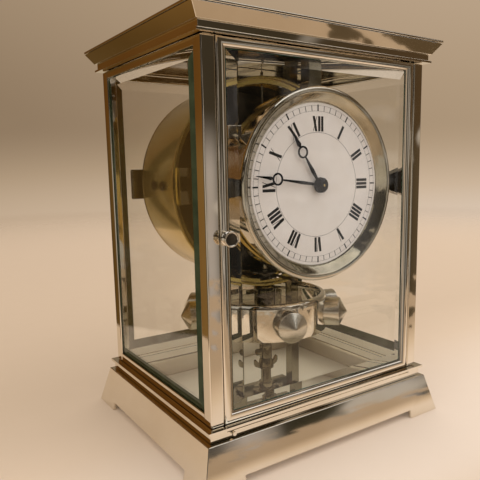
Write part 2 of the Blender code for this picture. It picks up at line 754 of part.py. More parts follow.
def make_knob():
    axis = axis_point("knob_axis", (KNOB_X, -HALF_DEPTH, KNOB_HEIGHT))
    foot = -HALF_DEPTH - SEAT
    profile = [(r * KNOB_RADIUS, foot - h * KNOB_LENGTH) for r, h in KNOB_SHARES]
    profile += [(KNOB_STEM, foot), (KNOB_STEM, STEM_BACK), (0, STEM_BACK)]
    knob = turned("door_knob", profile, "nickel", facing="front", at=(KNOB_X, 0, KNOB_HEIGHT), steps=MIDDLE)
    tongue = box("tongue", (KNOB_X - TONGUE_HALF, STEM_BACK - SEAT / 2, KNOB_HEIGHT - TONGUE_HALF),
                 (KNOB_X + TONGUE_HALF, STEM_BACK + TONGUE_THICK, KNOB_HEIGHT + TONGUE_REACH), "steel")
    unite(knob, tongue)
    carry(axis, knob)


# Stand and portal

def make_stand():
    front = -STAND_FRONT
    plate_body = box("movement_stand", (-STAND_HALF_WIDTH, front, STAND_PLATE_LOW),
                     (STAND_HALF_WIDTH, STAND_BACK, STAND_TOP), "nickel")
    feet = [box("toe", (-STAND_TOE_WIDTH / 2, front, STAND_LOW),
                (STAND_TOE_WIDTH / 2, front + STAND_FOOT_DEPTH, STAND_PLATE_LOW + SEAT), "nickel")]
    for x in (-1, 1):
        low_x, high_x = sorted((x * STAND_HALF_WIDTH, x * (STAND_HALF_WIDTH - STAND_FOOT_WIDTH)))
        for low_y in (front, STAND_BACK - STAND_FOOT_DEPTH):
            feet.append(box("foot", (low_x, low_y, STAND_LOW),
                            (high_x, low_y + STAND_FOOT_DEPTH, STAND_PLATE_LOW + SEAT), "nickel"))
    unite(plate_body, *feet)


def make_portal():
    corner_x = PORTAL_HALF_WIDTH - ARCH_ROUND
    corner_z = CEILING - ARCH_ROUND
    foot = STAND_TOP + SEAT
    outline = [(LEG_INNER_X, ARCH_LOW), (LEG_INNER_X, foot), (PORTAL_HALF_WIDTH, foot)]
    outline += arc((corner_x, corner_z), ARCH_ROUND, 0, 90, 7)
    outline += arc((-corner_x, corner_z), ARCH_ROUND, 90, 180, 7)
    outline += [(-PORTAL_HALF_WIDTH, foot), (-LEG_INNER_X, foot), (-LEG_INNER_X, ARCH_LOW)]
    portal = plate("portal", [outline], LEG_FRONT, LEG_BACK, "nickel", facing="front")
    collet = rod("collet", COLLET_RADIUS, ARCH_LOW + SEAT, ARCH_LOW - COLLET_LENGTH, "nickel",
                 at=(0, WIRE_Y, 0))
    unite(portal, collet)


# Drum

def make_drum():
    lip_back = DRUM_FRONT + DRUM_LIP_LENGTH
    rim = DRUM_LIP - DRUM_WALL
    profile = [(DRUM_LIP, DRUM_FRONT), (DRUM_LIP, lip_back), (DRUM_NECK, DRUM_NECK_Y), (DRUM_TAIL, DRUM_BACK),
               (DRUM_TAIL - DRUM_WALL, DRUM_BACK), (DRUM_MOUTH, SLOT_FRONT), (DRUM_MOUTH, DRUM_NECK_Y),
               (rim, DRUM_NECK_Y), (rim, DRUM_FRONT)]
    centre = (0, 0, CENTRE_Z)
    drum = turned("drum_shell", profile, "gilt", facing="front", at=centre, steps=LARGE)
    star_gap = rod("star_gap", STAR_TIP + SLOT_SIDE / 2, STAR_TOP + OVERRUN, STAR_LOW - 2 * SEAT, "gilt",
                   at=(0, WIRE_Y, 0), steps=MIDDLE)
    slot_x = PORTAL_HALF_WIDTH + SLOT_SIDE
    reach = DRUM_LIP + OVERRUN
    slot = box("slot", (-slot_x, SLOT_FRONT, CENTRE_Z - reach), (slot_x, SLOT_BACK, CENTRE_Z + reach), "gilt")
    cut(drum, slot, star_gap)
    for y in (SCREW_FIRST_Y, SCREW_SECOND_Y):
        cut(drum, rod("screw_hole", SCREW_RADIUS + SEAT, -reach, reach, "gilt", facing="left",
                      at=(0, y, CENTRE_Z)))

    boss_back = COVER_BACK + COVER_BOSS_LENGTH
    bore = AXLE_JOURNAL + RUN
    turned("drum_cover", [(DRUM_TAIL, COVER_FRONT), (DRUM_TAIL, COVER_BACK), (COVER_BOSS, COVER_BACK),
                          (COVER_BOSS, boss_back), (bore, boss_back), (bore, COVER_FRONT)],
           "gilt", facing="front", at=centre, steps=LARGE)


def make_strap():
    low = CENTRE_Z - STRAP_HALF_HEIGHT
    top = CENTRE_Z + STRAP_HALF_HEIGHT
    strap = box("drum_strap", (-STRAP_HALF_WIDTH, STRAP_FRONT, low), (STRAP_HALF_WIDTH, STRAP_BACK, top), "gilt")
    wall_at_tab = DRUM_TAIL - DRUM_WALL
    tab_outer = sqrt(wall_at_tab ** 2 - STRAP_HALF_HEIGHT ** 2) - SEAT
    tabs = []
    for x in (-1, 1):
        low_x, high_x = sorted((x * tab_outer, x * (tab_outer - STRAP_THICK)))
        tabs.append(box("tab", (low_x, STRAP_BACK - SEAT, low), (high_x, STRAP_TAB_END, top), "gilt"))
        middle = x * (LEG_INNER_X + LEG_WIDTH / 2)
        tabs.append(box("block", (middle - STRAP_BLOCK / 2, STRAP_BACK - SEAT, CENTRE_Z - STRAP_BLOCK),
                        (middle + STRAP_BLOCK / 2, LEG_FRONT - SEAT, CENTRE_Z + STRAP_BLOCK), "gilt"))
    unite(strap, *tabs)
    reach = STRAP_HALF_WIDTH + OVERRUN
    for y in (SCREW_FIRST_Y, SCREW_SECOND_Y):
        cut(strap, rod("screw_hole", SCREW_RADIUS + RUN, -reach, reach, "gilt", facing="left",
                       at=(0, y, CENTRE_Z)))
    cut(strap, rod("winder_hole", WINDER_RADIUS + RUN, STRAP_FRONT - OVERRUN, STRAP_BACK + OVERRUN, "gilt",
                   facing="front", at=(WINDER_X, 0, CENTRE_Z)))

    wall_slope = (DRUM_NECK - DRUM_TAIL) / (DRUM_BACK - DRUM_NECK_Y)
    inner = tab_outer - STRAP_THICK
    for y in (SCREW_FIRST_Y, SCREW_SECOND_Y):
        surface = DRUM_NECK - wall_slope * (y - SCREW_HEAD - DRUM_NECK_Y)
        seat = surface + SEAT
        crown = seat + SCREW_HEAD_THICK
        for side in (-1, 1):
            profile = [(0, -crown), (SCREW_HEAD - SCREW_HEAD_THICK / 2, -crown), (SCREW_HEAD, -seat),
                       (SCREW_RADIUS, -seat), (SCREW_RADIUS, -inner), (0, -inner)]
            turn = FACINGS["left"] if side < 0 else (0, pi / 2, 0)
            name = "drum_screw_" + ("left" if side < 0 else "right")
            name += "_front" if y == SCREW_FIRST_Y else "_rear"
            turned(name, profile, "steel", facing="left", at=(0, y, CENTRE_Z), turn=turn, steps=SMALL)


def make_rear_bar():
    bar = box("rear_bar", (-REAR_BAR_HALF_WIDTH, REAR_BAR_FRONT, CENTRE_Z - REAR_BAR_HALF_HEIGHT),
              (REAR_BAR_HALF_WIDTH, REAR_BAR_FRONT + REAR_BAR_THICK, CENTRE_Z + REAR_BAR_HALF_HEIGHT), "steel",
              EDGE)
    pillars = [rod("pillar", REAR_PILLAR, COVER_BACK + SEAT, REAR_BAR_FRONT + SEAT, "steel", facing="front",
                   at=(x * REAR_PILLAR_X, 0, CENTRE_Z)) for x in (-1, 1)]
    unite(bar, *pillars)


def make_bridge():
    bridge = box("axle_bridge", (-PORTAL_HALF_WIDTH, BRIDGE_FRONT, CENTRE_Z - BRIDGE_HALF_HEIGHT),
                 (PORTAL_HALF_WIDTH, BRIDGE_BACK, CENTRE_Z + BRIDGE_HALF_HEIGHT), "gilt", EDGE)
    for x, radius in ((0, AXLE_JOURNAL), (WINDER_X, WINDER_RADIUS)):
        cut(bridge, rod("bore", radius + RUN, BRIDGE_FRONT - OVERRUN, BRIDGE_BACK + OVERRUN, "gilt",
                        facing="front", at=(x, 0, CENTRE_Z)))


# Motor

def make_motor():
    axis = axis_point("motor_axis", (0, MOTOR_Y, CENTRE_Z))
    centre = (0, 0, CENTRE_Z)
    front = BRIDGE_FRONT + SEAT
    shoulder = BRIDGE_BACK + AXLE_SHOULDER
    rear_shoulder = COVER_FRONT - AXLE_SHOULDER
    rear = COVER_BACK + COVER_BOSS_LENGTH - SEAT
    axle = turned("motor_axle", [(0, front), (AXLE_JOURNAL, front), (AXLE_JOURNAL, shoulder),
                                 (AXLE_RADIUS, shoulder), (AXLE_RADIUS, rear_shoulder),
                                 (AXLE_JOURNAL, rear_shoulder), (AXLE_JOURNAL, rear), (0, rear)],
                  "steel", facing="front", at=centre, steps=SMALL)
    wheel = plate("motor_gear", [gear(MOTOR_GEAR, 18)], MOTOR_GEAR_Y, MOTOR_GEAR_Y + GEAR_THICK, "gilt",
                  facing="front", at=(0, CENTRE_Z))
    unite(axle, wheel)
    hub_front = MOTOR_Y - MOTOR_HUB_HALF
    hub_back = MOTOR_Y + MOTOR_HUB_HALF
    hub = turned("hub", [(0, hub_front), (MOTOR_HUB, hub_front), (MOTOR_HUB, hub_back), (0, hub_back)],
                 "gilt", facing="front", at=centre, steps=MIDDLE)
    arms = [hub]
    arm_front = MOTOR_Y - MOTOR_ARM_HALF_THICK
    arm_back = MOTOR_Y + MOTOR_ARM_HALF_THICK
    inner = MOTOR_HUB - SEAT
    for i in range(3):
        outline = [(-MOTOR_ARM_HALF_WIDTH, inner), (MOTOR_ARM_HALF_WIDTH, inner),
                   (MOTOR_ARM_HALF_WIDTH, MOTOR_ARM_END), (-MOTOR_ARM_HALF_WIDTH, MOTOR_ARM_END)]
        outline = turn_points(outline, 60 + 120 * i)
        arms.append(plate("arm", [outline[::-1]], arm_front, arm_back, "gilt", facing="front",
                          at=(0, CENTRE_Z)))
    case_bore = MOTOR_CASE - MOTOR_CASE_WALL
    case_floor = MOTOR_CASE_FRONT + MOTOR_CASE_WALL
    shell = turned("shell", [(0, MOTOR_CASE_FRONT), (MOTOR_CASE, MOTOR_CASE_FRONT), (MOTOR_CASE, MOTOR_CASE_BACK),
                             (case_bore, MOTOR_CASE_BACK), (case_bore, case_floor), (0, case_floor)],
                   "steel", facing="front", at=centre, steps=LARGE)
    unite(axle, shell, *arms)

    vessel = torus("motor_vessel", VESSEL_RING, VESSEL_TUBE, "glass")
    cut(vessel, torus("vessel_hollow", VESSEL_RING, VESSEL_TUBE - VESSEL_GLASS, "glass"))
    port = rod("port", VESSEL_PORT, -VESSEL_RING, -VESSEL_RING + 2 * VESSEL_TUBE, "glass", facing="left",
               at=(0, MOTOR_Y, CENTRE_Z), steps=SMALL)
    cut(vessel, port)
    carry(axis, axle, vessel)
    make_mercury()


def torus(name, ring_radius, tube_radius, finish):
    """A ring lying in the plane of the dial, at the motor's place."""
    points = [(ring_radius + x, MOTOR_Y + y) for x, y in circle(tube_radius, TUBE_SIDES)]
    return turned(name, points, finish, facing="front", at=(0, 0, CENTRE_Z), steps=MIDDLE)


def make_mercury():
    """The mercury lies at the bottom of the ring, and stays there as the ring turns."""
    radius = VESSEL_TUBE - VESSEL_GLASS - 2 * SEAT
    curve = bpy.data.curves.new("mercury", "CURVE")
    curve.dimensions = "3D"
    curve.bevel_depth = radius
    curve.bevel_resolution = 2
    curve.use_fill_caps = True
    points = arc((0, CENTRE_Z), VESSEL_RING, -90 - FILL_ANGLE / 2, -90 + FILL_ANGLE / 2, 22)
    spline = curve.splines.new("POLY")
    spline.points.add(len(points) - 1)
    for point, (x, z) in zip(spline.points, points):
        point.co = (x, MOTOR_Y, z, 1)
    obj = bpy.data.objects.new("mercury_fill", curve)
    PARTS.objects.link(obj)
    bpy.context.view_layer.update()
    give_finish(as_mesh(obj), "mercury")


def make_winder():
    axis = axis_point("winder_axis", (WINDER_X, 0, CENTRE_Z))
    rear = MOTOR_GEAR_Y + GEAR_THICK
    front = FRONT_PLATE_FRONT + SEAT
    shoulder = FRONT_PLATE_BACK + ARBOR_SHOULDER
    profile = [(0, front), (PIVOT, front), (PIVOT, shoulder), (WINDER_RADIUS, shoulder), (WINDER_RADIUS, rear),
               (0, rear)]
    winder = turned("winding_arbor", profile, "steel", facing="front", at=(WINDER_X, 0, CENTRE_Z), steps=SMALL)
    pinion = plate("pinion", [gear(WINDER_PINION, 6)], MOTOR_GEAR_Y, rear - SEAT, "steel", facing="front",
                   at=(WINDER_X, CENTRE_Z))
    unite(winder, pinion)
    carry(axis, winder)


# Movement

def make_plates():
    centres = ((THIRD_X, THIRD_Z, PIVOT), (0, ESCAPE_Z, PIVOT), (0, PALLET_Z, PIVOT))
    for name, start, end, extra in (
            ("back_plate", BACK_PLATE_FRONT, PLATE_BACK, ((0, CENTRE_Z, PIVOT), (WINDER_X, CENTRE_Z, WINDER_RADIUS))),
            ("front_plate", FRONT_PLATE_FRONT, FRONT_PLATE_BACK,
             ((0, CENTRE_Z, ARBOR), (WINDER_X, CENTRE_Z, PIVOT), (MOTION_X, MOTION_Z, PIVOT)))):
        holes = [circle(radius + RUN, SMALL, (x, z - CENTRE_Z)) for x, z, radius in centres + extra]
        body = plate(name, [circle(PLATE_RADIUS, MIDDLE)] + holes, start, end, "gilt", facing="front",
                     at=(0, CENTRE_Z))
        if name == "back_plate":
            add_pillars(body)


def add_pillars(back_plate):
    """The pillars and the spacers are riveted to the back plate."""
    posts = []
    for angle in (45, 135, 225, 315):
        x = PILLAR_CIRCLE * cos(radians(angle))
        z = CENTRE_Z + PILLAR_CIRCLE * sin(radians(angle))
        posts.append(rod("pillar", PILLAR_RADIUS, FRONT_PLATE_BACK + SEAT, BACK_PLATE_FRONT + SEAT, "gilt",
                         facing="front", at=(x, 0, z)))
    for x in (-1, 1):
        posts.append(rod("spacer", SPACER_RADIUS, PLATE_BACK - SEAT, STRAP_FRONT - SEAT, "gilt",
                         facing="front", at=(x * SPACER_X, 0, CENTRE_Z)))
    unite(back_plate, *posts)


def arbor(name, x, z, front=FRONT_PLATE_FRONT + SEAT):
    """An arbor between the plates, its pivots in their holes."""
    back = PLATE_BACK - SEAT
    near = FRONT_PLATE_BACK + ARBOR_SHOULDER
    far = BACK_PLATE_FRONT - ARBOR_SHOULDER
    profile = [(0, front), (PIVOT, front), (PIVOT, near), (ARBOR, near), (ARBOR, far), (PIVOT, far),
               (PIVOT, back), (0, back)]
    return turned(name, profile, "steel", facing="front", at=(x, 0, z), steps=SMALL)


def wheel_at(x, z, pitch, teeth, plane, thick):
    middle = BACK_PLATE_FRONT - plane
    return plate("wheel", [gear(pitch, teeth)], middle - thick / 2, middle + thick / 2, "gilt", facing="front",
                 at=(x, z))


def make_train():
    third = unite(arbor("third_wheel", THIRD_X, THIRD_Z),
                  wheel_at(THIRD_X, THIRD_Z, THIRD_PINION, 12, CENTRE_PLANE, PINION_LENGTH),
                  wheel_at(THIRD_X, THIRD_Z, THIRD_GEAR, 20, THIRD_PLANE, WHEEL_THICK))
    carry(axis_point("third_axis", (THIRD_X, 0, THIRD_Z)), third)
    escape = unite(arbor("escape_wheel", 0, ESCAPE_Z),
                   wheel_at(0, ESCAPE_Z, ESCAPE_PINION, 10, THIRD_PLANE, PINION_LENGTH),
                   wheel_at(0, ESCAPE_Z, ESCAPE_TIP, 15, ESCAPE_PLANE, WHEEL_THICK))
    carry(axis_point("escape_axis", (0, 0, ESCAPE_Z)), escape)

    teeth_middle = BACK_PLATE_FRONT - BARREL_PLANE
    drum_front = teeth_middle - BARREL_LENGTH
    bore = WINDER_RADIUS + RUN
    edge = BARREL_GEAR - MESH - BARREL_RIM - 2 * SEAT
    barrel = turned("barrel", [(edge, drum_front), (edge, teeth_middle), (bore, teeth_middle), (bore, drum_front)],
                    "gilt", facing="front", at=(WINDER_X, 0, CENTRE_Z), steps=MIDDLE)
    teeth = wheel_at(WINDER_X, CENTRE_Z, BARREL_GEAR, 24, BARREL_PLANE, GEAR_THICK)
    hole = rod("bore", bore, drum_front - OVERRUN, teeth_middle + OVERRUN, "gilt", facing="front",
               at=(WINDER_X, 0, CENTRE_Z))
    unite(barrel, teeth)
    cut(barrel, hole)
    carry(axis_point("barrel_axis", (WINDER_X, 0, CENTRE_Z)), barrel)


def make_pallets():
    """The pallet arbor with its anchor, and a crutch that hangs down to the star roller."""
    axis = axis_point("pallet_axis", (0, 0, PALLET_Z))
    lever = arbor("pallet_lever", 0, PALLET_Z)
    up = PALLET_DROP
    shares = [(-0.53, 0.43), (-0.42, 0.40), (-0.33, 0.16), (0.33, 0.16), (0.42, 0.40), (0.53, 0.43),
              (0.48, -0.12), (0.10, -0.20), (-0.10, -0.20), (-0.48, -0.12)]
    outline = [(x * up, z * up) for x, z in shares]
    middle = BACK_PLATE_FRONT - ESCAPE_PLANE
    anchor = plate("anchor", [outline[::-1]], middle - WHEEL_THICK / 2, middle + WHEEL_THICK / 2, "steel",
                   facing="front", at=(0, PALLET_Z))
    tail = box("tail", (-CRUTCH, middle - CRUTCH, PALLET_END_Z - CRUTCH), (CRUTCH, middle + CRUTCH, PALLET_Z),
               "steel")
    pin_end = WIRE_Y - STAR_TIP - 2 * SEAT
    pin = box("pin", (-CRUTCH, middle, PALLET_END_Z - CRUTCH), (CRUTCH, pin_end, PALLET_END_Z + CRUTCH), "steel")
    unite(lever, anchor, tail, pin)
    carry(axis, lever)


def make_motion_work():
    plane_front = FRONT_PLATE_FRONT - SEAT
    stud_end = plane_front - PINION_LENGTH - WHEEL_THICK - 2 * SEAT
    motion = turned("motion_wheel", [(0, stud_end), (ARBOR, stud_end), (ARBOR, plane_front - SEAT),
                                     (PIVOT, plane_front - SEAT), (PIVOT, FRONT_PLATE_BACK), (0, FRONT_PLATE_BACK)],
                    "steel", facing="front", at=(MOTION_X, 0, MOTION_Z), steps=SMALL)
    wheel_back = plane_front - SEAT - SEAT
    wheel_front = wheel_back - WHEEL_THICK
    big = plate("wheel", [gear(MOTION_GEAR, 18)], wheel_front, wheel_back, "gilt", facing="front",
                at=(MOTION_X, MOTION_Z))
    small = plate("wheel", [gear(MOTION_PINION, 6)], stud_end + SEAT, wheel_front, "gilt", facing="front",
                  at=(MOTION_X, MOTION_Z))
    unite(motion, big, small)
    carry(axis_point("motion_axis", (MOTION_X, 0, MOTION_Z)), motion)

    centre_axis = axis_point("centre_axis", (0, 0, CENTRE_Z))
    cap_front = MINUTE_HAND_Y - HAND_THICK - CAP_LENGTH
    boss = 0.6 * HAND_BOSS
    near = FRONT_PLATE_BACK + ARBOR_SHOULDER
    far = BACK_PLATE_FRONT - ARBOR_SHOULDER
    back = PLATE_BACK - SEAT
    seat = MINUTE_HAND_Y - HAND_THICK - SEAT
    centre = turned("centre_wheel", [(0, cap_front), (boss, cap_front + CAP_LENGTH / 2), (boss, seat),
                                     (PIVOT, seat), (PIVOT, MINUTE_HAND_Y + SEAT), (ARBOR, MINUTE_HAND_Y + SEAT),
                                     (ARBOR, far), (PIVOT, far), (PIVOT, back), (0, back)],
                    "steel", facing="front", at=(0, 0, CENTRE_Z), steps=SMALL)
    cannon = plate("wheel", [gear(CANNON, 6)], wheel_front, wheel_back, "gilt", facing="front",
                   at=(0, CENTRE_Z))
    unite(centre, wheel_at(0, CENTRE_Z, CENTRE_GEAR, 24, CENTRE_PLANE, WHEEL_THICK),
          wheel_at(0, CENTRE_Z, CENTRE_PINION, 6, BARREL_PLANE, PINION_LENGTH), cannon)

    hour_back = wheel_front - SEAT
    hour_front = hour_back - WHEEL_THICK
    pipe_bore = HOUR_PIPE - HOUR_PIPE_WALL
    pipe_front = HOUR_HAND_Y - HAND_THICK - SEAT
    hour = turned("hour_wheel", [(HOUR_PIPE, pipe_front), (HOUR_PIPE, hour_back - SEAT),
                                 (pipe_bore, hour_back - SEAT), (pipe_bore, pipe_front)],
                  "gilt", facing="front", at=(0, 0, CENTRE_Z), steps=SMALL)
    rim = plate("wheel", [gear(HOUR_GEAR, 24), circle(pipe_bore + MESH, SMALL)], hour_front, hour_back, "gilt",
                facing="front", at=(0, CENTRE_Z))
    unite(hour, rim)

    minute_hand = make_hand("minute_hand", MINUTE_LENGTH, MINUTE_RING_AT, MINUTE_ANGLE, MINUTE_HAND_Y,
                            PIVOT + RUN)
    hour_hand = make_hand("hour_hand", HOUR_LENGTH, HOUR_RING_AT, HOUR_ANGLE, HOUR_HAND_Y, HOUR_PIPE + RUN)
    carry(centre_axis, centre, hour, minute_hand, hour_hand)


def make_hand(name, length, ring_at, angle, y, bore):
    """A hand with a round boss, a tapering stem, a pierced ring and a fine point."""
    swell = 1.6 * HAND_STEM
    outline = []
    side = sqrt(HAND_BOSS ** 2 - swell ** 2)
    ring_side = sqrt(HAND_RING ** 2 - HAND_STEM ** 2)
    outline += arc((0, 0), HAND_BOSS, 90 + 12, 360 + 90 - 12, 21)
    outline += [(swell, side + HAND_STEM), (HAND_STEM, ring_at - ring_side)]
    outline += arc((0, ring_at), HAND_RING, -80, 80, 11)
    outline += [(swell, ring_at + HAND_RING + HAND_STEM), (HAND_STEM / 4, length), (-HAND_STEM / 4, length),
                (-swell, ring_at + HAND_RING + HAND_STEM)]
    outline += arc((0, ring_at), HAND_RING, 100, 260, 11)
    outline += [(-HAND_STEM, ring_at - ring_side), (-swell, side + HAND_STEM)]
    outlines = [outline, circle(HAND_HOLE, 20, (0, ring_at)), circle(bore, SMALL)]
    outlines = [turn_points(points, angle) for points in outlines]
    return plate(name, outlines, y - HAND_THICK, y, "black", facing="front", at=(0, CENTRE_Z))


# Dial group

def make_dial():
    dial = plate("dial", [circle(DIAL_RADIUS, LARGE), circle(HOUR_PIPE + SEAT, SMALL)], DIAL_FACE, DIAL_BACK,
                 "enamel", facing="front", at=(0, CENTRE_Z))
    feet = [rod("foot", DIAL_FOOT, DIAL_BACK - SEAT, BAR_FRONT - SEAT, "enamel", facing="front",
                at=(x * DIAL_FOOT_X, 0, CENTRE_Z)) for x in (-1, 1)]
    unite(dial, *feet)


def make_bezel():
    lip_y = DIAL_FACE - SEAT
    seat = DIAL_RADIUS + SEAT
    bore = BEZEL_COVER - BEZEL_WALL
    seat_back = lip_y + BEZEL_SEAT_DEPTH
    roll_back = BEZEL_FRONT + BEZEL_ROLL
    profile = [(BEZEL_CREST, BEZEL_FRONT), ((BEZEL_CREST + 2 * BEZEL_RADIUS) / 3, BEZEL_FRONT),
               (BEZEL_RADIUS, BEZEL_FRONT + BEZEL_ROLL / 3), (BEZEL_RADIUS, BEZEL_FRONT + 2 * BEZEL_ROLL / 3),
               (BEZEL_COVER, roll_back), (BEZEL_COVER, BEZEL_BACK), (bore, BEZEL_BACK), (bore, seat_back),
               (seat, seat_back), (seat, lip_y), (BEZEL_SIGHT, lip_y)]
    bezel = turned("bezel", profile, "nickel", facing="front", at=(0, 0, CENTRE_Z), steps=LARGE)
    reach = BEZEL_COVER + OVERRUN
    bar_slot = box("bar_slot", (-reach, BAR_FRONT - SEAT, CENTRE_Z - BAR_HALF_HEIGHT - SEAT),
                   (reach, BEZEL_BACK + OVERRUN, CENTRE_Z + BAR_HALF_HEIGHT + SEAT), "nickel")
    cut(bezel, bar_slot)

    bracket = box("bracket", (-BRACKET_OUT, BRACKET_FRONT, BRACKET_LOW),
                  (-BRACKET_IN, BRACKET_FRONT + BRACKET_DEPTH, BRACKET_LOW + BRACKET_HEIGHT), "nickel")
    inside = rod("inside", BEZEL_COVER - BEZEL_WALL / 2, BRACKET_FRONT - OVERRUN,
                 BRACKET_FRONT + BRACKET_DEPTH + OVERRUN, "nickel", facing="front", at=(0, 0, CENTRE_Z),
                 steps=LARGE)
    cut(bracket, inside)
    unite(bezel, bracket)


def make_neck():
    """The column that carries the bezel, flared where it meets the bezel and the ceiling."""
    foot = CENTRE_Z + sqrt(BEZEL_COVER ** 2 - NECK_FLARE ** 2)

    def flare(z, direction):
        centre = (NECK_FLARE, z + direction * NECK_FLARE_RISE)
        width = NECK_FLARE - NECK_HALF_WIDTH
        angles = [radians(90 * i / 5) for i in range(6)]
        return [(centre[0] - width * sin(a), centre[1] - direction * NECK_FLARE_RISE * cos(a)) for a in angles]

    right = [(NECK_FLARE, foot)] + flare(foot + SEAT, 1) + list(reversed(flare(CEILING, -1)))
    outline = right + [(-x, z) for x, z in reversed(right)]
    neck = plate("bezel_neck", [outline], NECK_FRONT, NECK_BACK, "nickel", facing="front")
    cut(neck, rod("bezel_round", BEZEL_COVER + SEAT, NECK_FRONT - OVERRUN, NECK_BACK + OVERRUN, "nickel",
                  facing="front", at=(0, 0, CENTRE_Z), steps=LARGE))


def make_dial_bar():
    bar = box("dial_bar", (-LUG_FLARE_END, BAR_FRONT, CENTRE_Z - BAR_HALF_HEIGHT),
              (LUG_FLARE_END, BAR_BACK, CENTRE_Z + BAR_HALF_HEIGHT), "nickel")
    cut(bar, rod("pipe_hole", HOUR_PIPE + SEAT, BAR_FRONT - OVERRUN, BAR_BACK + OVERRUN, "nickel",
                 facing="front", at=(0, 0, CENTRE_Z)))
    lugs = []
    front = -POST_INNER_Y + SEAT
    for side in (-1, 1):
        outline = [(BAR_END, -BAR_HALF_HEIGHT), (LUG_FLARE_END, -LUG_HALF_HEIGHT),
                   (LUG_END, -LUG_HALF_HEIGHT), (LUG_END, LUG_HALF_HEIGHT),
                   (LUG_FLARE_END, LUG_HALF_HEIGHT), (BAR_END, BAR_HALF_HEIGHT)]
        outline = [(side * x, z) for x, z in outline]
        lugs.append(plate("lug", [outline], front, BAR_BACK + SEAT, "nickel", facing="front", at=(0, CENTRE_Z)))
    unite(bar, *lugs)


# Balance and lock

def make_balance():
    axis = axis_point("balance_axis", (0, WIRE_Y, RING_LOW))
    at = (0, WIRE_Y, 0)
    inner = RING_RADIUS - RING_WALL
    balance_ring = turned("balance_ring", [
        (RING_CREST, RING_TOP), (RING_RADIUS, RING_SHOULDER_Z), (RING_RADIUS, RING_LOW), (inner, RING_LOW),
        (inner, RING_SHOULDER_Z - RING_WALL / 2), (RING_MOUTH, RING_SHOULDER_Z), (RING_MOUTH, RING_TOP)],
        "nickel", at=at, steps=LARGE)
    stem = BOSS_RADIUS - SPIGOT / 2
    spoke_gap = 2 * SEAT
    collar_top = STAR_LOW - SEAT
    hub = turned("balance_hub", [(0, STAR_TOP), (SPIGOT, STAR_TOP), (SPIGOT, collar_top), (BOSS_LIP, collar_top),
                                 (BOSS_LIP, HUB_TOP), (HUB_RADIUS, HUB_TOP),
                                 (HUB_RADIUS, SPOKE_TOP + spoke_gap), (stem, SPOKE_TOP + spoke_gap),
                                 (stem, SPOKE_LOW - spoke_gap), (BOSS_RADIUS, SPOKE_LOW - spoke_gap),
                                 (BOSS_RADIUS, BOSS_LOW + SPIGOT), (SPIGOT, BOSS_LOW), (0, BOSS_LOW)],
                 "nickel", at=at, steps=MIDDLE)
    reach = inner + RING_WALL / 2
    ends = [(SPOKE_HALF_WIDTH, -reach), (SPOKE_HALF_WIDTH, reach), (-SPOKE_HALF_WIDTH, reach),
            (-SPOKE_HALF_WIDTH, -reach)]
    spokes = plate("spokes", [ends], SPOKE_LOW, SPOKE_TOP, "nickel", at=(0, WIRE_Y))
    eye = rod("eye", HUB_RADIUS + SPIGOT, SPOKE_TOP + SEAT / 2, SPOKE_LOW - SEAT / 2, "nickel", at=at,
              steps=MIDDLE)
    unite(balance_ring, spokes, eye)
    cut(balance_ring, rod("eye_hole", stem + SEAT, SPOKE_TOP + OVERRUN, SPOKE_LOW - OVERRUN, "nickel", at=at,
                          steps=MIDDLE))
    star = make_star()
    clamp_low = STAR_TOP + SEAT
    wire = turned("suspension_wire", [
        (0, WIRE_TOP), (WIRE_RADIUS, WIRE_TOP), (WIRE_RADIUS, WIRE_PIN_Z + WIRE_PIN_LENGTH),
        (WIRE_PIN, WIRE_PIN_Z + WIRE_PIN_LENGTH - WIRE_RADIUS), (WIRE_PIN, WIRE_PIN_Z + WIRE_RADIUS),
        (WIRE_RADIUS, WIRE_PIN_Z), (WIRE_RADIUS, CLAMP_TOP), (CLAMP_RADIUS, CLAMP_TOP - WIRE_RADIUS),
        (CLAMP_RADIUS, clamp_low), (0, clamp_low)], "steel", at=at, steps=SMALL)
    weights = make_weights()
    carry(axis, balance_ring, hub, star, wire, *weights)


def make_star():
    """The roller under the movement: two star plates with a drum between them."""
    points = []
    for i in range(STAR_POINTS):
        for radius, share in ((STAR_TIP, 0), (STAR_ROOT, 0.5)):
            angle = 2 * pi * (i + share) / STAR_POINTS
            points.append((radius * cos(angle), radius * sin(angle)))
    lower_top = STAR_LOW + STAR_PLATE
    upper_low = STAR_TOP - STAR_PLATE
    star = plate("star_roller", [points], STAR_LOW, lower_top, "steel", at=(0, WIRE_Y))
    upper = plate("upper_star", [points], upper_low, STAR_TOP, "steel", at=(0, WIRE_Y))
    drum = rod("drum", STAR_DRUM, upper_low + SEAT, lower_top - SEAT, "steel", at=(0, WIRE_Y, 0), steps=MIDDLE)
    unite(star, drum, upper)
    return cut(star, rod("bore", SPIGOT + SEAT, STAR_TOP + OVERRUN, STAR_LOW - OVERRUN, "steel",
                         at=(0, WIRE_Y, 0), steps=SMALL))


def make_weights():
    """Cone-ended weights round the ring, each with its foot cut to the ring's curve."""
    weights = []
    start = RING_RADIUS - WEIGHT_RADIUS / 4
    for number, angle in enumerate(WEIGHT_ANGLES, 1):
        profile = [(0, -WEIGHT_POINT), (WEIGHT_RADIUS, -WEIGHT_SHOULDER), (WEIGHT_RADIUS, -start), (0, -start)]
        weight = turned(f"balance_weight_{number}", profile, "nickel", facing="left", at=(0, WIRE_Y, WEIGHT_Z),
                        turn=(0, pi / 2, radians(angle)), steps=MIDDLE)
        cut(weight, rod("ring_round", RING_RADIUS + SEAT, RING_TOP + OVERRUN, RING_LOW - OVERRUN, "nickel",
                        at=(0, WIRE_Y, 0), steps=LARGE))
        weights.append(weight)
    return weights


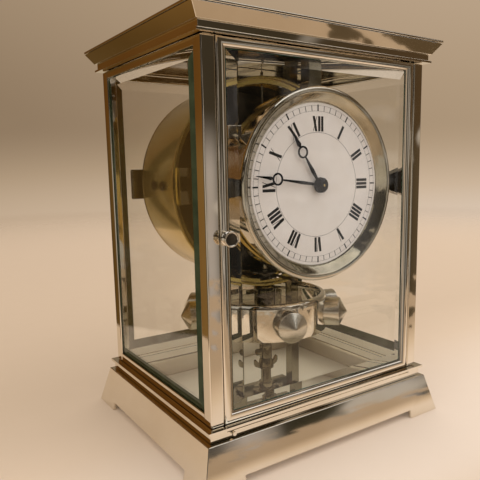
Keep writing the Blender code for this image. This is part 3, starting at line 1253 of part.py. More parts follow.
def make_lock():
    at = (0, WIRE_Y, 0)
    flange_top = LOCK_LOW + LOCK_FLANGE_THICK
    turned("lock_post", [(0, LOCK_STEM_TOP), (LOCK_STEM, LOCK_STEM_TOP), (LOCK_STEM, LOCK_THREAD_TOP),
                         (LOCK_THREAD, LOCK_THREAD_TOP), (LOCK_THREAD, LOCK_FOOT_TOP),
                         (LOCK_FOOT, LOCK_FOOT_TOP), (LOCK_FOOT, flange_top), (LOCK_FLANGE, flange_top),
                         (LOCK_FLANGE, LOCK_LOW), (0, LOCK_LOW)], "steel", at=at, steps=24)
    lift_axis = axis_point("lift_axis", (0, WIRE_Y, SLEEVE_LOW))
    bore = LOCK_STEM + RUN
    cup_low = SLEEVE_TOP - SLEEVE_CUP_HEIGHT
    sleeve = turned("lock_sleeve", [(SLEEVE_CUP, SLEEVE_TOP), (SLEEVE_CUP, cup_low),
                                    (SLEEVE_RADIUS, cup_low - SLEEVE_CUP + SLEEVE_RADIUS),
                                    (SLEEVE_RADIUS, SLEEVE_LOW), (bore, SLEEVE_LOW), (bore, SLEEVE_TOP)],
                    "steel", at=at, steps=24)
    shank_end = -LOCK_STEM - RUN - SEAT
    cut(sleeve, rod("thumb_hole", THUMB_SHANK + RUN, -SLEEVE_RADIUS - OVERRUN, shank_end / 2, "steel",
                    facing="left", at=(0, WIRE_Y, THUMB_Z), steps=SMALL))
    carry(lift_axis, sleeve)

    thumb_axis = axis_point("thumb_axis", (-SLEEVE_RADIUS, WIRE_Y, THUMB_Z))
    head_in = -SLEEVE_RADIUS - SEAT
    head_out = head_in - THUMB_HEAD_LENGTH
    thumb = turned("thumb_screw", [(0, head_out), (THUMB_HEAD, head_out), (THUMB_HEAD, head_in),
                                   (THUMB_SHANK, head_in), (THUMB_SHANK, shank_end), (0, shank_end)],
                   "steel", facing="left", at=(0, WIRE_Y, THUMB_Z), steps=SMALL)
    carry(thumb_axis, thumb)

    nut_axis = axis_point("nut_axis", (0, WIRE_Y, NUT_LOW))
    nut_bore = LOCK_THREAD + RUN
    nut = turned("wing_nut", [(LOCK_THREAD + RUN + SEAT, NUT_TOP), (NUT_RADIUS, NUT_LOW + LOCK_STEM),
                              (NUT_RADIUS, NUT_LOW), (nut_bore, NUT_LOW), (nut_bore, NUT_TOP)],
                 "steel", at=at, steps=24)
    wings = []
    height = NUT_TOP - NUT_LOW
    for side in (-1, 1):
        outline = [(NUT_RADIUS - SEAT, 0), (NUT_REACH - NUT_WING_RISE, height / 4), (NUT_REACH, height / 2),
                   (NUT_REACH, height - NUT_WING_RISE), (NUT_REACH - NUT_WING_RISE, height),
                   (NUT_REACH - 2 * NUT_WING_RISE, height - NUT_WING_RISE), (NUT_RADIUS - SEAT, height / 3)]
        outline = [(side * x, z) for x, z in outline]
        wings.append(plate("wing", [outline], WIRE_Y - NUT_WING_THICK / 2, WIRE_Y + NUT_WING_THICK / 2, "steel",
                           facing="front", at=(0, NUT_LOW)))
    unite(nut, *wings)
    carry(nut_axis, nut)


make_base()
make_case_frame()
make_glass()
make_crown()
make_door()
make_knob()
make_stand()
make_portal()
make_drum()
make_strap()
make_rear_bar()
make_bridge()
make_motor()
make_winder()
make_plates()
make_train()
make_pallets()
make_motion_work()
make_dial()
make_bezel()
make_neck()
make_dial_bar()
make_balance()
make_lock()
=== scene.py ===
# %% [markdown]
# # A glazed atmospheric clock
# The clock is a metal case with four panes of bevelled glass. Inside it a shallow drum stands
# between the legs of a portal, a round movement with a white dial hangs from the ceiling, and a
# heavy polished balance turns slowly on a wire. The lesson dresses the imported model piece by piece.

# %% Load the frame
from math import cos, pi, radians, sin, sqrt

import bmesh
import bpy
from mathutils import Matrix, Vector


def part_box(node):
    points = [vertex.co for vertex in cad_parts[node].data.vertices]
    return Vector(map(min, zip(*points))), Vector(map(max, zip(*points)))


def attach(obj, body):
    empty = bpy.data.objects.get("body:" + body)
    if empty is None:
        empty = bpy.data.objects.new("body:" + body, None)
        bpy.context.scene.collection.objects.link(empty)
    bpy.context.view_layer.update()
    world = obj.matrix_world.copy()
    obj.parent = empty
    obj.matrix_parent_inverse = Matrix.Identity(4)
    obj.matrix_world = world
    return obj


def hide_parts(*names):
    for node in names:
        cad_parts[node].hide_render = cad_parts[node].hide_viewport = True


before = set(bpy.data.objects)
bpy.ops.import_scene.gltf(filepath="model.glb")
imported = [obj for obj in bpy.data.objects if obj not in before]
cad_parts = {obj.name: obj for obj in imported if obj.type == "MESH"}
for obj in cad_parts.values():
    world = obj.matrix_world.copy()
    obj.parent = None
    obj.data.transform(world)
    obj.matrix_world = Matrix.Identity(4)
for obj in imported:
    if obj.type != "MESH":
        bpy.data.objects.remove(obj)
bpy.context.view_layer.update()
bpy.context.scene.view_settings.view_transform = "Standard"


def link_new(name, data):
    obj = bpy.data.objects.new(name, data)
    bpy.context.scene.collection.objects.link(obj)
    return obj


def new_object(name, bm):
    mesh = bpy.data.meshes.new(name)
    bm.to_mesh(mesh)
    bm.free()
    return link_new(name, mesh)


# %% [markdown]
# ## Camera
# The clock is seen from its front left, from a little above half its height. The place, the turn
# and the length of the lens come from the straight edges of the case, which meet at far points.
# The small shift says that the view is cut out of a larger one.

# %% Camera
CAMERA_AT = (-0.20348, -0.29873, 0.16219)
pan, tilt, roll = radians(35.472), radians(-8.531), radians(-0.677)
camera_data = bpy.data.cameras.new("camera")
camera_data.sensor_width = 36
camera_data.lens = 41.63
camera_data.shift_x, camera_data.shift_y = -0.0682, 0.0160
camera = link_new("camera", camera_data)
ahead = Vector((sin(pan) * cos(tilt), cos(pan) * cos(tilt), sin(tilt)))
level = Vector((cos(pan), -sin(pan), 0))
above = level.cross(ahead)
across = cos(roll) * level + sin(roll) * above
upward = -sin(roll) * level + cos(roll) * above
turn = Matrix((across, upward, -ahead)).transposed().to_4x4()
camera.matrix_world = Matrix.Translation(CAMERA_AT) @ turn
bpy.context.scene.camera = camera
print("camera looks along", [round(value, 3) for value in ahead])

# %% [markdown]
# ## Helpers for node trees
# A finish is a small machine of nodes. These helpers add one node or a few, set their options, and
# join or fill their inputs, so that each finish below can be read as a list of steps. Every finish
# takes its pattern from the piece's own coordinates, so it stays with the piece when that moves.


# %% Node helpers
def fill(tree, socket, value):
    """Joins a socket to another, or gives it a value. A colour may lack its fourth number."""
    if isinstance(value, bpy.types.NodeSocket):
        tree.links.new(value, socket)
    elif socket.type == "RGBA" and len(value) == 3:
        socket.default_value = (*value, 1)
    else:
        socket.default_value = value


def add_node(tree, kind, inputs=None, **options):
    """Most nodes here are shader nodes, so that much of a kind's name may be left out."""
    node = tree.nodes.new(kind if "Node" in kind else "ShaderNode" + kind)
    for name, value in options.items():
        setattr(node, name, value)
    for name, value in (inputs or {}).items():
        fill(tree, node.inputs[name], value)
    return node


def add_math(tree, operation, first, second):
    return add_node(tree, "Math", {0: first, 1: second}, operation=operation).outputs[0]


def add_ramp(tree, value, stops):
    """A colour for every value: stops are (place, red, green, blue)."""
    node = add_node(tree, "ValToRGB", {"Fac": value})
    elements = node.color_ramp.elements
    while len(elements) < len(stops):
        elements.new(0.5)
    for element, (place, *colour) in zip(elements, stops):
        element.position = place
        element.color = (*colour, 1)
    return node.outputs["Color"]


def add_sum(tree, *parts):
    """Adds up products: each part is a value, or a pair of a socket and its factor."""
    total = None
    for part in parts:
        if isinstance(part, tuple):
            part = add_math(tree, "MULTIPLY", *part)
        total = part if total is None else add_math(tree, "ADD", total, part)
    return total


def fade(tree, value, start, end):
    """0 up to start, 1 from end on, and a soft step between them."""
    limits = {"Value": value, "From Min": start, "From Max": end}
    return add_node(tree, "MapRange", limits, interpolation_type="SMOOTHSTEP").outputs["Result"]


def blend_colours(tree, factor, first, second):
    node = add_node(tree, "Mix", data_type="RGBA")
    for index, value in ((0, factor), (6, first), (7, second)):
        fill(tree, node.inputs[index], value)
    return node.outputs[2]


def noise(tree, place, scale, detail=2.0, stretch=(1, 1, 1), roughness=0.5):
    mapped = add_node(tree, "Mapping", {"Vector": place, "Scale": stretch}).outputs[0]
    return add_node(tree, "TexNoise", {
        "Vector": mapped, "Scale": scale, "Detail": detail, "Roughness": roughness}).outputs["Fac"]


def add_bump(tree, height, strength, distance, **more):
    return add_node(tree, "Bump", {
        "Height": height, "Strength": strength, "Distance": distance, **more}).outputs[0]


def new_finish(name):
    material = bpy.data.materials.new(name)
    material.use_nodes = True
    tree = material.node_tree
    tree.nodes.clear()
    return material, tree, add_node(tree, "TexCoord").outputs["Object"]


def shown(material, shader):
    add_node(material.node_tree, "OutputMaterial", {"Surface": shader.outputs[0]})
    return material


def plain(material, inputs):
    """Ends a finish with one shader and its inputs."""
    return shown(material, add_node(material.node_tree, "BsdfPrincipled", inputs))


print("node helpers ready")

# %% [markdown]
# ## The studio
# Polished metal shows its surroundings more than itself. So the world holds a plain warm sweep of
# paper and, for gloss alone, a darker room with a few pale patches. The room is written twice, as
# a ring of tones at eye level and another one higher up. The camera sees only the paper, also
# through glass. Matt surfaces get an even light, so a colour renders about as it is written.

# %% Studio world
PAPER = [
    (0.28, 0.281, 0.197, 0.122), (0.42, 0.424, 0.308, 0.200), (0.60, 0.600, 0.455, 0.322),
    (0.76, 0.760, 0.628, 0.510)]
ROOM_LEVEL = [
    (0.00, 0.10, 0.085, 0.065), (0.10, 0.50, 0.44, 0.36), (0.16, 0.48, 0.42, 0.34),
    (0.22, 0.06, 0.05, 0.035), (0.33, 0.16, 0.09, 0.028), (0.405, 0.22, 0.13, 0.042),
    (0.425, 0.21, 0.11, 0.03), (0.447, 0.10, 0.052, 0.013), (0.475, 0.13, 0.08, 0.03),
    (0.52, 0.40, 0.31, 0.205), (0.58, 0.52, 0.42, 0.30), (0.69, 0.60, 0.50, 0.37),
    (0.76, 0.20, 0.15, 0.09), (0.81, 0.12, 0.075, 0.035), (0.862, 0.10, 0.07, 0.038),
    (0.87, 0.03, 0.022, 0.01), (0.877, 0.38, 0.37, 0.38), (0.884, 0.30, 0.29, 0.25),
    (0.893, 0.05, 0.042, 0.025), (0.91, 0.035, 0.03, 0.018), (0.916, 0.40, 0.35, 0.31),
    (0.922, 0.46, 0.40, 0.36), (0.93, 0.10, 0.085, 0.07), (0.95, 0.05, 0.042, 0.03),
    (0.97, 0.24, 0.21, 0.17), (1.00, 0.10, 0.085, 0.065)]
ROOM_HIGH = [
    (0.00, 0.05, 0.042, 0.034), (0.22, 0.03, 0.026, 0.02), (0.38, 0.19, 0.085, 0.018),
    (0.46, 0.10, 0.04, 0.008), (0.52, 0.16, 0.115, 0.07), (0.60, 0.34, 0.27, 0.19),
    (0.72, 0.20, 0.16, 0.11), (0.84, 0.10, 0.055, 0.022), (0.90, 0.05, 0.038, 0.022),
    (1.00, 0.05, 0.042, 0.034)]
PATCH_TONE, MATT_LIGHT = (0.52, 0.46, 0.40), (1.12, 1.095, 1.09)
world = bpy.data.worlds.new("studio")
world.use_nodes = True
bpy.context.scene.world = world
sky = world.node_tree
sky.nodes.clear()
direction = add_node(sky, "TexCoord").outputs["Generated"]
right, back, up = add_node(sky, "SeparateXYZ", {0: direction}).outputs
lower, higher = fade(sky, up, 0.075, -0.10), fade(sky, up, 0.05, 0.35)
paper = add_ramp(sky, add_sum(sky, (right, 0.21), (lower, 0.28), (higher, 0.10), 0.235), PAPER)
bearing = add_sum(sky, (add_math(sky, "ARCTAN2", right, back), 1 / (2 * pi)), 0.5)
rings = [add_ramp(sky, bearing, tones) for tones in (ROOM_LEVEL, ROOM_HIGH)]
room = blend_colours(sky, fade(sky, up, -0.02, 0.10), *rings)
patches = fade(sky, noise(sky, direction, 3.6, 3.0, (1, 1, 2.2), 0.45), 0.55, 0.60)
patches = add_math(sky, "MULTIPLY", patches, fade(sky, back, -0.25, -0.55))
room = blend_colours(sky, patches, room, PATCH_TONE)
path = add_node(sky, "LightPath").outputs
mirrored = add_math(sky, "GREATER_THAN", path["Glossy Depth"], 0.5)
looked_at = blend_colours(sky, mirrored, paper, room)
lit_by = blend_colours(sky, path["Is Diffuse Ray"], looked_at, MATT_LIGHT)
background = add_node(sky, "Background", {"Color": lit_by, "Strength": 1.0})
add_node(sky, "OutputWorld", {"Surface": background.outputs[0]})
print("the room has", len(ROOM_LEVEL), "bearings")

# %% [markdown]
# ## Lamps
# Two large soft panels, a strong one high on the right and a weak one on the left, give the metal
# its pale streaks and the paper a faint shadow. They are wide and dim, because a small bright lamp
# would burn white spots into every polished edge.


# %% Lamps
def add_panel(name, place, target, size, power, colour):
    data = bpy.data.lights.new(name, "AREA")
    data.shape = "RECTANGLE"
    data.size, data.size_y = size
    data.energy = power
    data.color = colour
    aim = (Vector(target) - Vector(place)).to_track_quat("-Z", "Y").to_matrix().to_4x4()
    link_new(name, data).matrix_world = Matrix.Translation(place) @ aim
    print(name, "gives", power, "watts")


add_panel("panel_right", (0.75, -0.85, 1.45), (0, 0, 0.12), (1.5, 1.1), 5.5, (0.97, 0.97, 1.0))
add_panel("panel_left", (-0.95, -0.35, 1.05), (0, 0, 0.10), (1.0, 1.0), 1.3, (1.0, 0.96, 0.90))

# %% [markdown]
# ## The table
# The clock stands on the same paper that rises behind it. The floor is a wide disc that fades into
# the world at its edge, so no line shows where they meet, and it keeps the clock's soft shadow. Its
# tone is painted lighter towards the front and the right, and a faint painted glow softens that
# shadow.
# For gloss the paper ends on the left and, along a wavy line, in front. There the metal mirrors
# the darker room instead.


# %% Floor
def floor_finish():
    material, tree, place = new_finish("paper_floor")
    x, y = add_node(tree, "SeparateXYZ", {0: place}).outputs[:2]
    # The tone of the paper is painted light and shade: lighter towards the front and to the right, darker
    # again at the very front.
    near, nearest = fade(tree, y, 0.12, -0.12), fade(tree, y, -0.12, -0.22)
    light = add_sum(tree, (x, 0.08), (near, 0.20), (nearest, -0.36), 0.505)
    colour = add_ramp(tree, add_sum(tree, light, (noise(tree, place, 60.0, 4.0), 0.012)), PAPER)
    paper_shader = add_node(tree, "BsdfPrincipled", {
        "Base Color": colour, "Roughness": 0.85, "Specular IOR Level": 0.1})
    path = add_node(tree, "LightPath").outputs
    mirrored = add_math(tree, "GREATER_THAN", path["Glossy Depth"], 0.5)
    seen = add_sum(tree, path["Is Camera Ray"], path["Is Glossy Ray"], path["Is Transmission Ray"])
    # For the camera, for gloss and through glass the paper gets a faint painted glow of its own colour,
    # which softens its shadow.
    black = (0, 0, 0)
    glow = blend_colours(tree, seen, black, blend_colours(tree, 0.16, black, colour))
    painted_glow = add_node(tree, "Emission", {"Color": glow})
    paper_seen = add_node(tree, "AddShader", {0: paper_shader.outputs[0], 1: painted_glow.outputs[0]})
    distance = add_node(tree, "VectorMath", {0: place}, operation="LENGTH").outputs["Value"]
    left_end = fade(tree, add_sum(tree, x, (y, -0.55)), -0.268, -0.288)
    front_end = fade(tree, add_sum(tree, distance, noise(tree, place, 15.0, 3.0)), 0.920, 0.935)
    front_end = add_math(tree, "MULTIPLY", front_end, fade(tree, y, -0.02, -0.08))
    hidden = add_math(tree, "MULTIPLY", add_math(tree, "MAXIMUM", left_end, front_end), mirrored)
    open_share = add_math(tree, "MAXIMUM", fade(tree, distance, 0.75, 1.9), hidden)
    clear = add_node(tree, "BsdfTransparent")
    return shown(material, add_node(tree, "MixShader", {
        0: open_share, 1: paper_seen.outputs[0], 2: clear.outputs[0]}))


bm = bmesh.new()
bmesh.ops.create_circle(bm, cap_ends=True, segments=96, radius=3)
disc = new_object("paper_floor", bm)
disc.data.materials.append(floor_finish())
print("floor in place")

# %% [markdown]
# ## Metal finishes
# The case is polished nickel on brass: a warm, pale mirror whose polish is never quite even. The
# drum and the plates are gilt, the lock is bare steel, the star and the rear bar are darkened. The
# dial bar, which lies in shade, gets the same dark finish as painted shade. One recipe makes them
# all: two tones that drift into each other, a haze that dulls some spots, and a faint unevenness
# that bends long reflections a little. The plates have fine grain lines as well.


# %% Metals
def metal(name, bright, deep, roughness, spread=0.05, lines=None, wave=0.10, mirror=1.0):
    """bright and deep are the two tones, roughness that of the smoothest spots, spread how far it
    rises. lines stretches the grain, wave is the unevenness, mirror the share that isn't matt."""
    material, tree, place = new_finish(name)
    drift = noise(tree, place, 22.0, 3.0)
    haze = noise(tree, place, 70.0, 2.0)
    tone = add_ramp(tree, drift, [(0.30, *deep), (0.72, *bright)])
    rough = add_sum(tree, (drift, spread), (haze, 0.5 * spread), roughness - 0.5 * spread)
    normal = add_bump(tree, noise(tree, place, 14.0, 0.0), wave, 0.0006)
    if lines:
        lining = noise(tree, place, 500.0, 2.0, lines)
        darker = tuple(0.55 * part for part in deep)
        tone = blend_colours(tree, add_sum(tree, (lining, 0.30)), tone, darker)
        normal = add_bump(tree, lining, 0.02, 0.0001, Normal=normal)
    return plain(material, {"Base Color": tone, "Metallic": mirror, "Roughness": rough, "Normal": normal})


nickel = metal("polished_nickel", (0.84, 0.79, 0.70), (0.76, 0.69, 0.57), 0.040)
# A darker copy of the nickel: painted shade for the stand, the portal, the neck and the hub inside the
# case.
nickel_painted_shade = metal("nickel_painted_shade", (0.38, 0.35, 0.27), (0.27, 0.24, 0.165), 0.07)
nickel_cone = metal("turned_nickel", (0.80, 0.75, 0.65), (0.66, 0.60, 0.49), 0.20, spread=0.10)
# The bezel's slope: its deep tone paints dark patches of reflection into the colour.
silvered = metal("silvered_ring_painted_reflection", (0.70, 0.63, 0.49), (0.26, 0.225, 0.15), 0.06, wave=0.35)
gilt = metal("polished_gilt", (0.70, 0.56, 0.30), (0.58, 0.43, 0.19), 0.06)
satin_gilt = metal("satin_gilt", (0.86, 0.66, 0.24), (0.72, 0.52, 0.13), 0.15, mirror=0.93)
plate_gilt = metal("grained_gilt", (0.70, 0.56, 0.30), (0.60, 0.46, 0.22), 0.20, 0.10, (1, 1, 14))
steel = metal("bare_steel", (0.46, 0.41, 0.30), (0.26, 0.22, 0.14), 0.06, spread=0.06)
black_steel = metal("blackened_steel", (0.045, 0.04, 0.035), (0.025, 0.022, 0.018), 0.25, spread=0.10)
# Darkened steel, which also serves as painted shade on the dial bar behind the bezel.
dark_steel_and_painted_shade = metal("darkened_steel_and_painted_shade", (0.15, 0.13, 0.10), (0.07, 0.058, 0.042), 0.20, spread=0.12)
quicksilver = metal("quicksilver", (0.80, 0.80, 0.82), (0.74, 0.74, 0.77), 0.03, spread=0.02)


def satin_plate():
    """The floor plate is silvered and brushed, so it shows the light and hardly mirrors."""
    material, tree, place = new_finish("satin_plate")
    brushed = noise(tree, place, 160.0, 3.0, (1, 9, 1))
    drift = noise(tree, place, 12.0, 2.0)
    tones = [(0.3, 0.74, 0.63, 0.45), (0.7, 0.84, 0.74, 0.56)]
    return plain(material, {
        "Base Color": add_ramp(tree, add_sum(tree, (brushed, 0.4), (drift, 0.6)), tones),
        "Roughness": add_sum(tree, (brushed, 0.15), 0.30),
        "Normal": add_bump(tree, brushed, 0.05, 0.0001)})


floor_metal = satin_plate()
print("metals", [finish.name for finish in (nickel, silvered, gilt, steel, dark_steel_and_painted_shade, floor_metal)])

# %% [markdown]
# ## Glass
# Each pane is plate glass with a wide bevel ground round its outer face. Clear glass looks nearly
# colourless through its faces but green along its edges, where the light has travelled through a
# hand's breadth of it. So faces, edges and dark bevels get finishes of their own; the dark finish of
# the bevels is painted reflection. Lamps and matt light pass through the faces unbent, which keeps
# the inside of the case as bright as the real one.


# %% Glass finishes
def clear_glass(name, tint, rough):
    material, tree, place = new_finish(name)
    ripple = noise(tree, place, 30.0, 1.0)
    dust = noise(tree, place, 240.0, 3.0)
    glass = add_node(tree, "BsdfPrincipled", {
        "Base Color": blend_colours(tree, dust, tint, tuple(0.985 * part for part in tint)),
        "Roughness": add_sum(tree, (dust, rough)), "Transmission Weight": 1.0, "IOR": 1.5,
        "Normal": add_bump(tree, ripple, 0.02, 0.0004)})
    path = add_node(tree, "LightPath").outputs
    passing = add_math(tree, "MAXIMUM", path["Is Shadow Ray"], path["Is Diffuse Ray"])
    clear = add_node(tree, "BsdfTransparent", {"Color": tint})
    return shown(material, add_node(tree, "MixShader", {
        0: passing, 1: glass.outputs[0], 2: clear.outputs[0]}))


def green_glass(name, low, high, grain, gloss):
    """Edges keep the light and look dark; on the fixed panes' bevels the dark is painted reflection."""
    material, tree, place = new_finish(name)
    colour = add_ramp(tree, noise(tree, place, *grain), [(0.30, *low), (0.75, *high)])
    return plain(material, {"Base Color": colour, **gloss})


pane_glass = clear_glass("pane_glass", (0.990, 0.998, 0.988), 0.006)
# The bevels of the fixed panes: a dark green that is painted reflection.
painted_dark_bevel = green_glass("bevel_glass_painted_dark", (0.024, 0.032, 0.015), (0.048, 0.060, 0.030), (120.0, 2.0), {
    "Roughness": 0.05, "IOR": 1.3, "Specular IOR Level": 0.25})
vessel_glass = clear_glass("vessel_glass", (0.95, 0.96, 0.95), 0.02)
green_edge = green_glass("glass_edge", (0.01, 0.04, 0.022), (0.04, 0.1, 0.06), (160.0, 3.0, (1, 1, 0.2)), {
    "Roughness": 0.12, "Coat Weight": 0.6, "Coat Roughness": 0.03})
print("glass", pane_glass.name, green_edge.name)

# %% [markdown]
# ## Dial finishes
# The dial is fired white enamel: smooth and glassy, with a very slight mottle and a warm tone. The
# figures are black enamel paint, fired on, and the hands are blued steel, so dark that it reads
# as black with a cool sheen.


# %% Enamel, ink and blued steel
def enamel_finish():
    material, tree, place = new_finish("white_enamel")
    mottle = noise(tree, place, 90.0, 4.0)
    return plain(material, {
        "Base Color": add_ramp(tree, mottle, [(0.25, 0.70, 0.62, 0.565), (0.75, 0.755, 0.685, 0.64)]),
        "Roughness": add_sum(tree, (mottle, 0.10), 0.16), "Coat Weight": 0.35, "Coat Roughness": 0.05,
        "Normal": add_bump(tree, noise(tree, place, 35.0), 0.03, 0.0002)})


def dark_finish(name, low, high, rough, metallic, scale):
    material, tree, place = new_finish(name)
    mottle = noise(tree, place, scale, 3.0)
    return plain(material, {
        "Base Color": add_ramp(tree, mottle, [(0.3, *low), (0.7, *high)]),
        "Roughness": add_sum(tree, (mottle, 0.15), rough), "Metallic": metallic,
        "Normal": add_bump(tree, mottle, 0.04, 0.00005)})


enamel = enamel_finish()
figure_paint = dark_finish("figure_paint", (0.006, 0.006, 0.007), (0.016, 0.015, 0.015), 0.25, 0.0, 700.0)
track_paint = dark_finish("track_paint", (0.022, 0.019, 0.016), (0.04, 0.034, 0.028), 0.35, 0.0, 700.0)
blued_steel = dark_finish("blued_steel", (0.012, 0.013, 0.017), (0.028, 0.030, 0.038), 0.20, 0.6, 260.0)
print("dial finishes", enamel.name, figure_paint.name, blued_steel.name)

# %% [markdown]
# ## Shaping helpers
# A clockmaker has a few basic shapes: what is turned on a lathe, what is sawn from plate, what is
# milled from bar. The helpers below make each of them as a plain mesh at its place in the clock,
# round its edges a little, because no real edge is perfectly sharp, and give it its finish.


# %% Meshes in place
def settle(obj, place=None):
    """The object's final mesh, its modifiers applied and its place in its vertices."""
    bpy.context.view_layer.update()
    graph = bpy.context.evaluated_depsgraph_get()
    mesh = bpy.data.meshes.new_from_object(obj.evaluated_get(graph))
    mesh.transform((place or Matrix()) @ obj.matrix_world)
    name = obj.name
    bpy.data.objects.remove(obj)
    mesh.name = name
    return link_new(name, mesh)


def even_normals(obj):
    obj.modifiers.new("normals", "WEIGHTED_NORMAL").keep_sharp = True
    return obj


def cut(obj, *cutters):
    for cutter in cutters:
        modifier = obj.modifiers.new("cut", "BOOLEAN")
        modifier.operation = "DIFFERENCE"
        modifier.solver = "EXACT"
        modifier.object = cutter
    result = settle(obj)
    for cutter in cutters:
        bpy.data.objects.remove(cutter)
    result.data.set_sharp_from_angle(angle=radians(40))
    return result


def round_edges(obj, width, segments=2, angle=30):
    bevel = obj.modifiers.new("edges", "BEVEL")
    bevel.width = width
    bevel.segments = segments
    bevel.limit_method = "ANGLE"
    bevel.angle_limit = radians(angle)
    bevel.use_clamp_overlap = True
    for face in obj.data.polygons:
        face.use_smooth = True
    return even_normals(obj)


def dress(obj, body, finish, *nodes, slot="nickel"):
    """Gives a piece its finish, its body, and the nodes that it stands for."""
    if not obj.data.materials:
        obj.data.materials.append(finish)
    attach(obj, body)
    if nodes:
        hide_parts(*nodes)
    return obj


def two_finishes(obj, first, second, takes_second):
    """takes_second says of a face whether it gets the second finish."""
    obj.data.materials.clear()
    for finish in (first, second):
        obj.data.materials.append(finish)
    for face in obj.data.polygons:
        face.material_index = int(takes_second(face))


def milled(node, finish, edge, body="case", slot="nickel", angle=30):
    """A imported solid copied, its triangles joined to flat faces, its edges rounded."""
    bm = bmesh.new()
    bm.from_mesh(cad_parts[node].data)
    bmesh.ops.remove_doubles(bm, verts=bm.verts, dist=0.000002)
    bmesh.ops.dissolve_limit(bm, angle_limit=radians(0.6), verts=bm.verts, edges=bm.edges)
    piece = settle(round_edges(new_object(node + "_finished", bm), edge, angle=angle))
    print(node, "has", len(piece.data.polygons), "faces")
    return dress(piece, body, finish, node, slot=slot)


print("shaping helpers ready")

# %% [markdown]
# ## Base and crown
# Base and crown are soldered from flat and moulded strip: a flared skirt with four feet, a band,
# a thin ledge, and at the top a lip, a flared cornice and a lid. Their shapes are right in the
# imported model, so each is copied and only its edges are rounded. The rounding is what draws the
# thin bright lines along the case.


# %% Base and crown
def satin_inside(piece):
    """The faces that look towards the middle of the case are satin, as the floor plate is."""
    two_finishes(piece, nickel, floor_metal, lambda face: (
        face.normal.x * face.center.x + face.normal.y * face.center.y < -0.5 * abs(face.center.length)))


milled("base_skirt", nickel, 0.0004)
satin_inside(milled("base_band", nickel, 0.00014))
satin_inside(milled("base_ledge", nickel, 0.0004))
milled("top_lip", nickel, 0.00035)
milled("cornice", nickel, 0.0003)
milled("lid", nickel, 0.00045)

# %% [markdown]
# ## Posts and rails
# Four square posts carry the case, with rails brazed between them. Each post is drawn bar with
# well rounded corners. A box with bevelled edges is enough, if the rounding has a few steps and
# the flat faces keep flat normals, because a mirror shows every fault. The left front post has a
# mortise for the tongue of the door's knob.


# %% Frame of the case
def bar(name, low, high, edge, segments=3):
    low, high = Vector(low), Vector(high)
    bm = bmesh.new()
    bmesh.ops.create_cube(bm, size=1)
    for vert in bm.verts:
        vert.co = Vector([(a + b) / 2 + c * (b - a) for a, b, c in zip(low, high, vert.co)])
    return settle(round_edges(new_object(name, bm), edge, segments))


POST, RAIL, RAIL_SETBACK, RAIL_OVERLAP = 0.0078, 0.0034, 0.0003, 0.001
RAIL_LOW, RAIL_TOP = 0.0055, 0.0043
POST_EDGE, RAIL_EDGE = 0.0009, 0.0005
frame_low, frame_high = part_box("case_frame")
half_x, half_y = frame_high.x, frame_high.y
posts = []
for number, (side_x, side_y) in enumerate([(-1, -1), (1, -1), (-1, 1), (1, 1)], 1):
    xs = sorted((side_x * half_x, side_x * (half_x - POST)))
    ys = sorted((side_y * half_y, side_y * (half_y - POST)))
    low, high = (xs[0], ys[0], frame_low.z), (xs[1], ys[1], frame_high.z)
    posts.append(bar(f"post_{number}", low, high, POST_EDGE, 4))
latch_slot = bar("latch_slot", (-0.0717, -0.0630, 0.1208), (-0.0649, -0.0609, 0.1326), 0.0001)
posts[0] = settle(even_normals(cut(posts[0], latch_slot)))
for number, piece in enumerate(posts):
    dress(piece, "case", nickel, *(("case_frame",) if number == 0 else ()))
reach_x, reach_y = half_x - POST + RAIL_OVERLAP, half_y - POST + RAIL_OVERLAP
rail_rows = {"low": (frame_low.z, frame_low.z + RAIL_LOW), "top": (frame_high.z - RAIL_TOP, frame_high.z)}
for tag, (z0, z1) in rail_rows.items():
    low, high = (-reach_x, half_y - RAIL, z0), (reach_x, half_y - RAIL_SETBACK, z1)
    rails = [bar("rail_rear_" + tag, low, high, RAIL_EDGE)]
    for side, name in ((-1, "rail_left_"), (1, "rail_right_")):
        xs = sorted((side * (half_x - RAIL_SETBACK), side * (half_x - RAIL)))
        rails.append(bar(name + tag, (xs[0], -reach_y, z0), (xs[1], reach_y, z1), RAIL_EDGE))
    for piece in rails:
        dress(piece, "case", nickel)
        if tag == "low":
            satin_inside(piece)
print("posts and rails", len(posts) + 6)

# %% [markdown]
# ## Bevelled panes
# A pane has a flat back, a flat field in front and a sloping bevel between the field and its thin
# edge. The mesh is four rectangles joined by strips, the edge strips in the green finish. In the
# fixed panes the bevel is dark at the sides and the foot and clear at the top; that dark is painted
# reflection. The door's bevel is clear all round, and bends what lies behind it.

# %% Panes
HALF_PACKED, HALF_EDGE, CROWN, BEVEL, CHAMFER = 0.00125, 0.0008, 0.0009, 0.0055, 0.0002
PANE_STEPS = [
    (CHAMFER, -HALF_EDGE), (0, CHAMFER - HALF_EDGE), (0, HALF_EDGE - CHAMFER / 2),
    (BEVEL, HALF_EDGE + CROWN)]


def rectangle(bm, x, low, high, place):
    return [bm.verts.new(place(*corner)) for corner in ((-x, low), (x, low), (x, high), (-x, high))]


def join_loops(bm, first, second):
    return [bm.faces.new((first[i], first[i - 3], second[i - 3], second[i])) for i in range(4)]


def pane(name, width, height, place, slope_finish):
    bm = bmesh.new()
    loops = []
    for inset, z in PANE_STEPS:
        y = height / 2 - inset
        loops.append(rectangle(bm, width / 2 - inset, -y, y, lambda x, y: (x, y, z)))
    bm.faces.new(loops[0][::-1])
    bm.faces.new(loops[-1])
    for number, (first, second) in enumerate(zip(loops, loops[1:])):
        for side, face in enumerate(join_loops(bm, first, second)):
            face.material_index = 1 if number < 2 else (0 if side == 2 else 2)
    obj = new_object(name, bm)
    for finish in (pane_glass, green_edge, slope_finish):
        obj.data.materials.append(finish)
    return settle(obj, place)


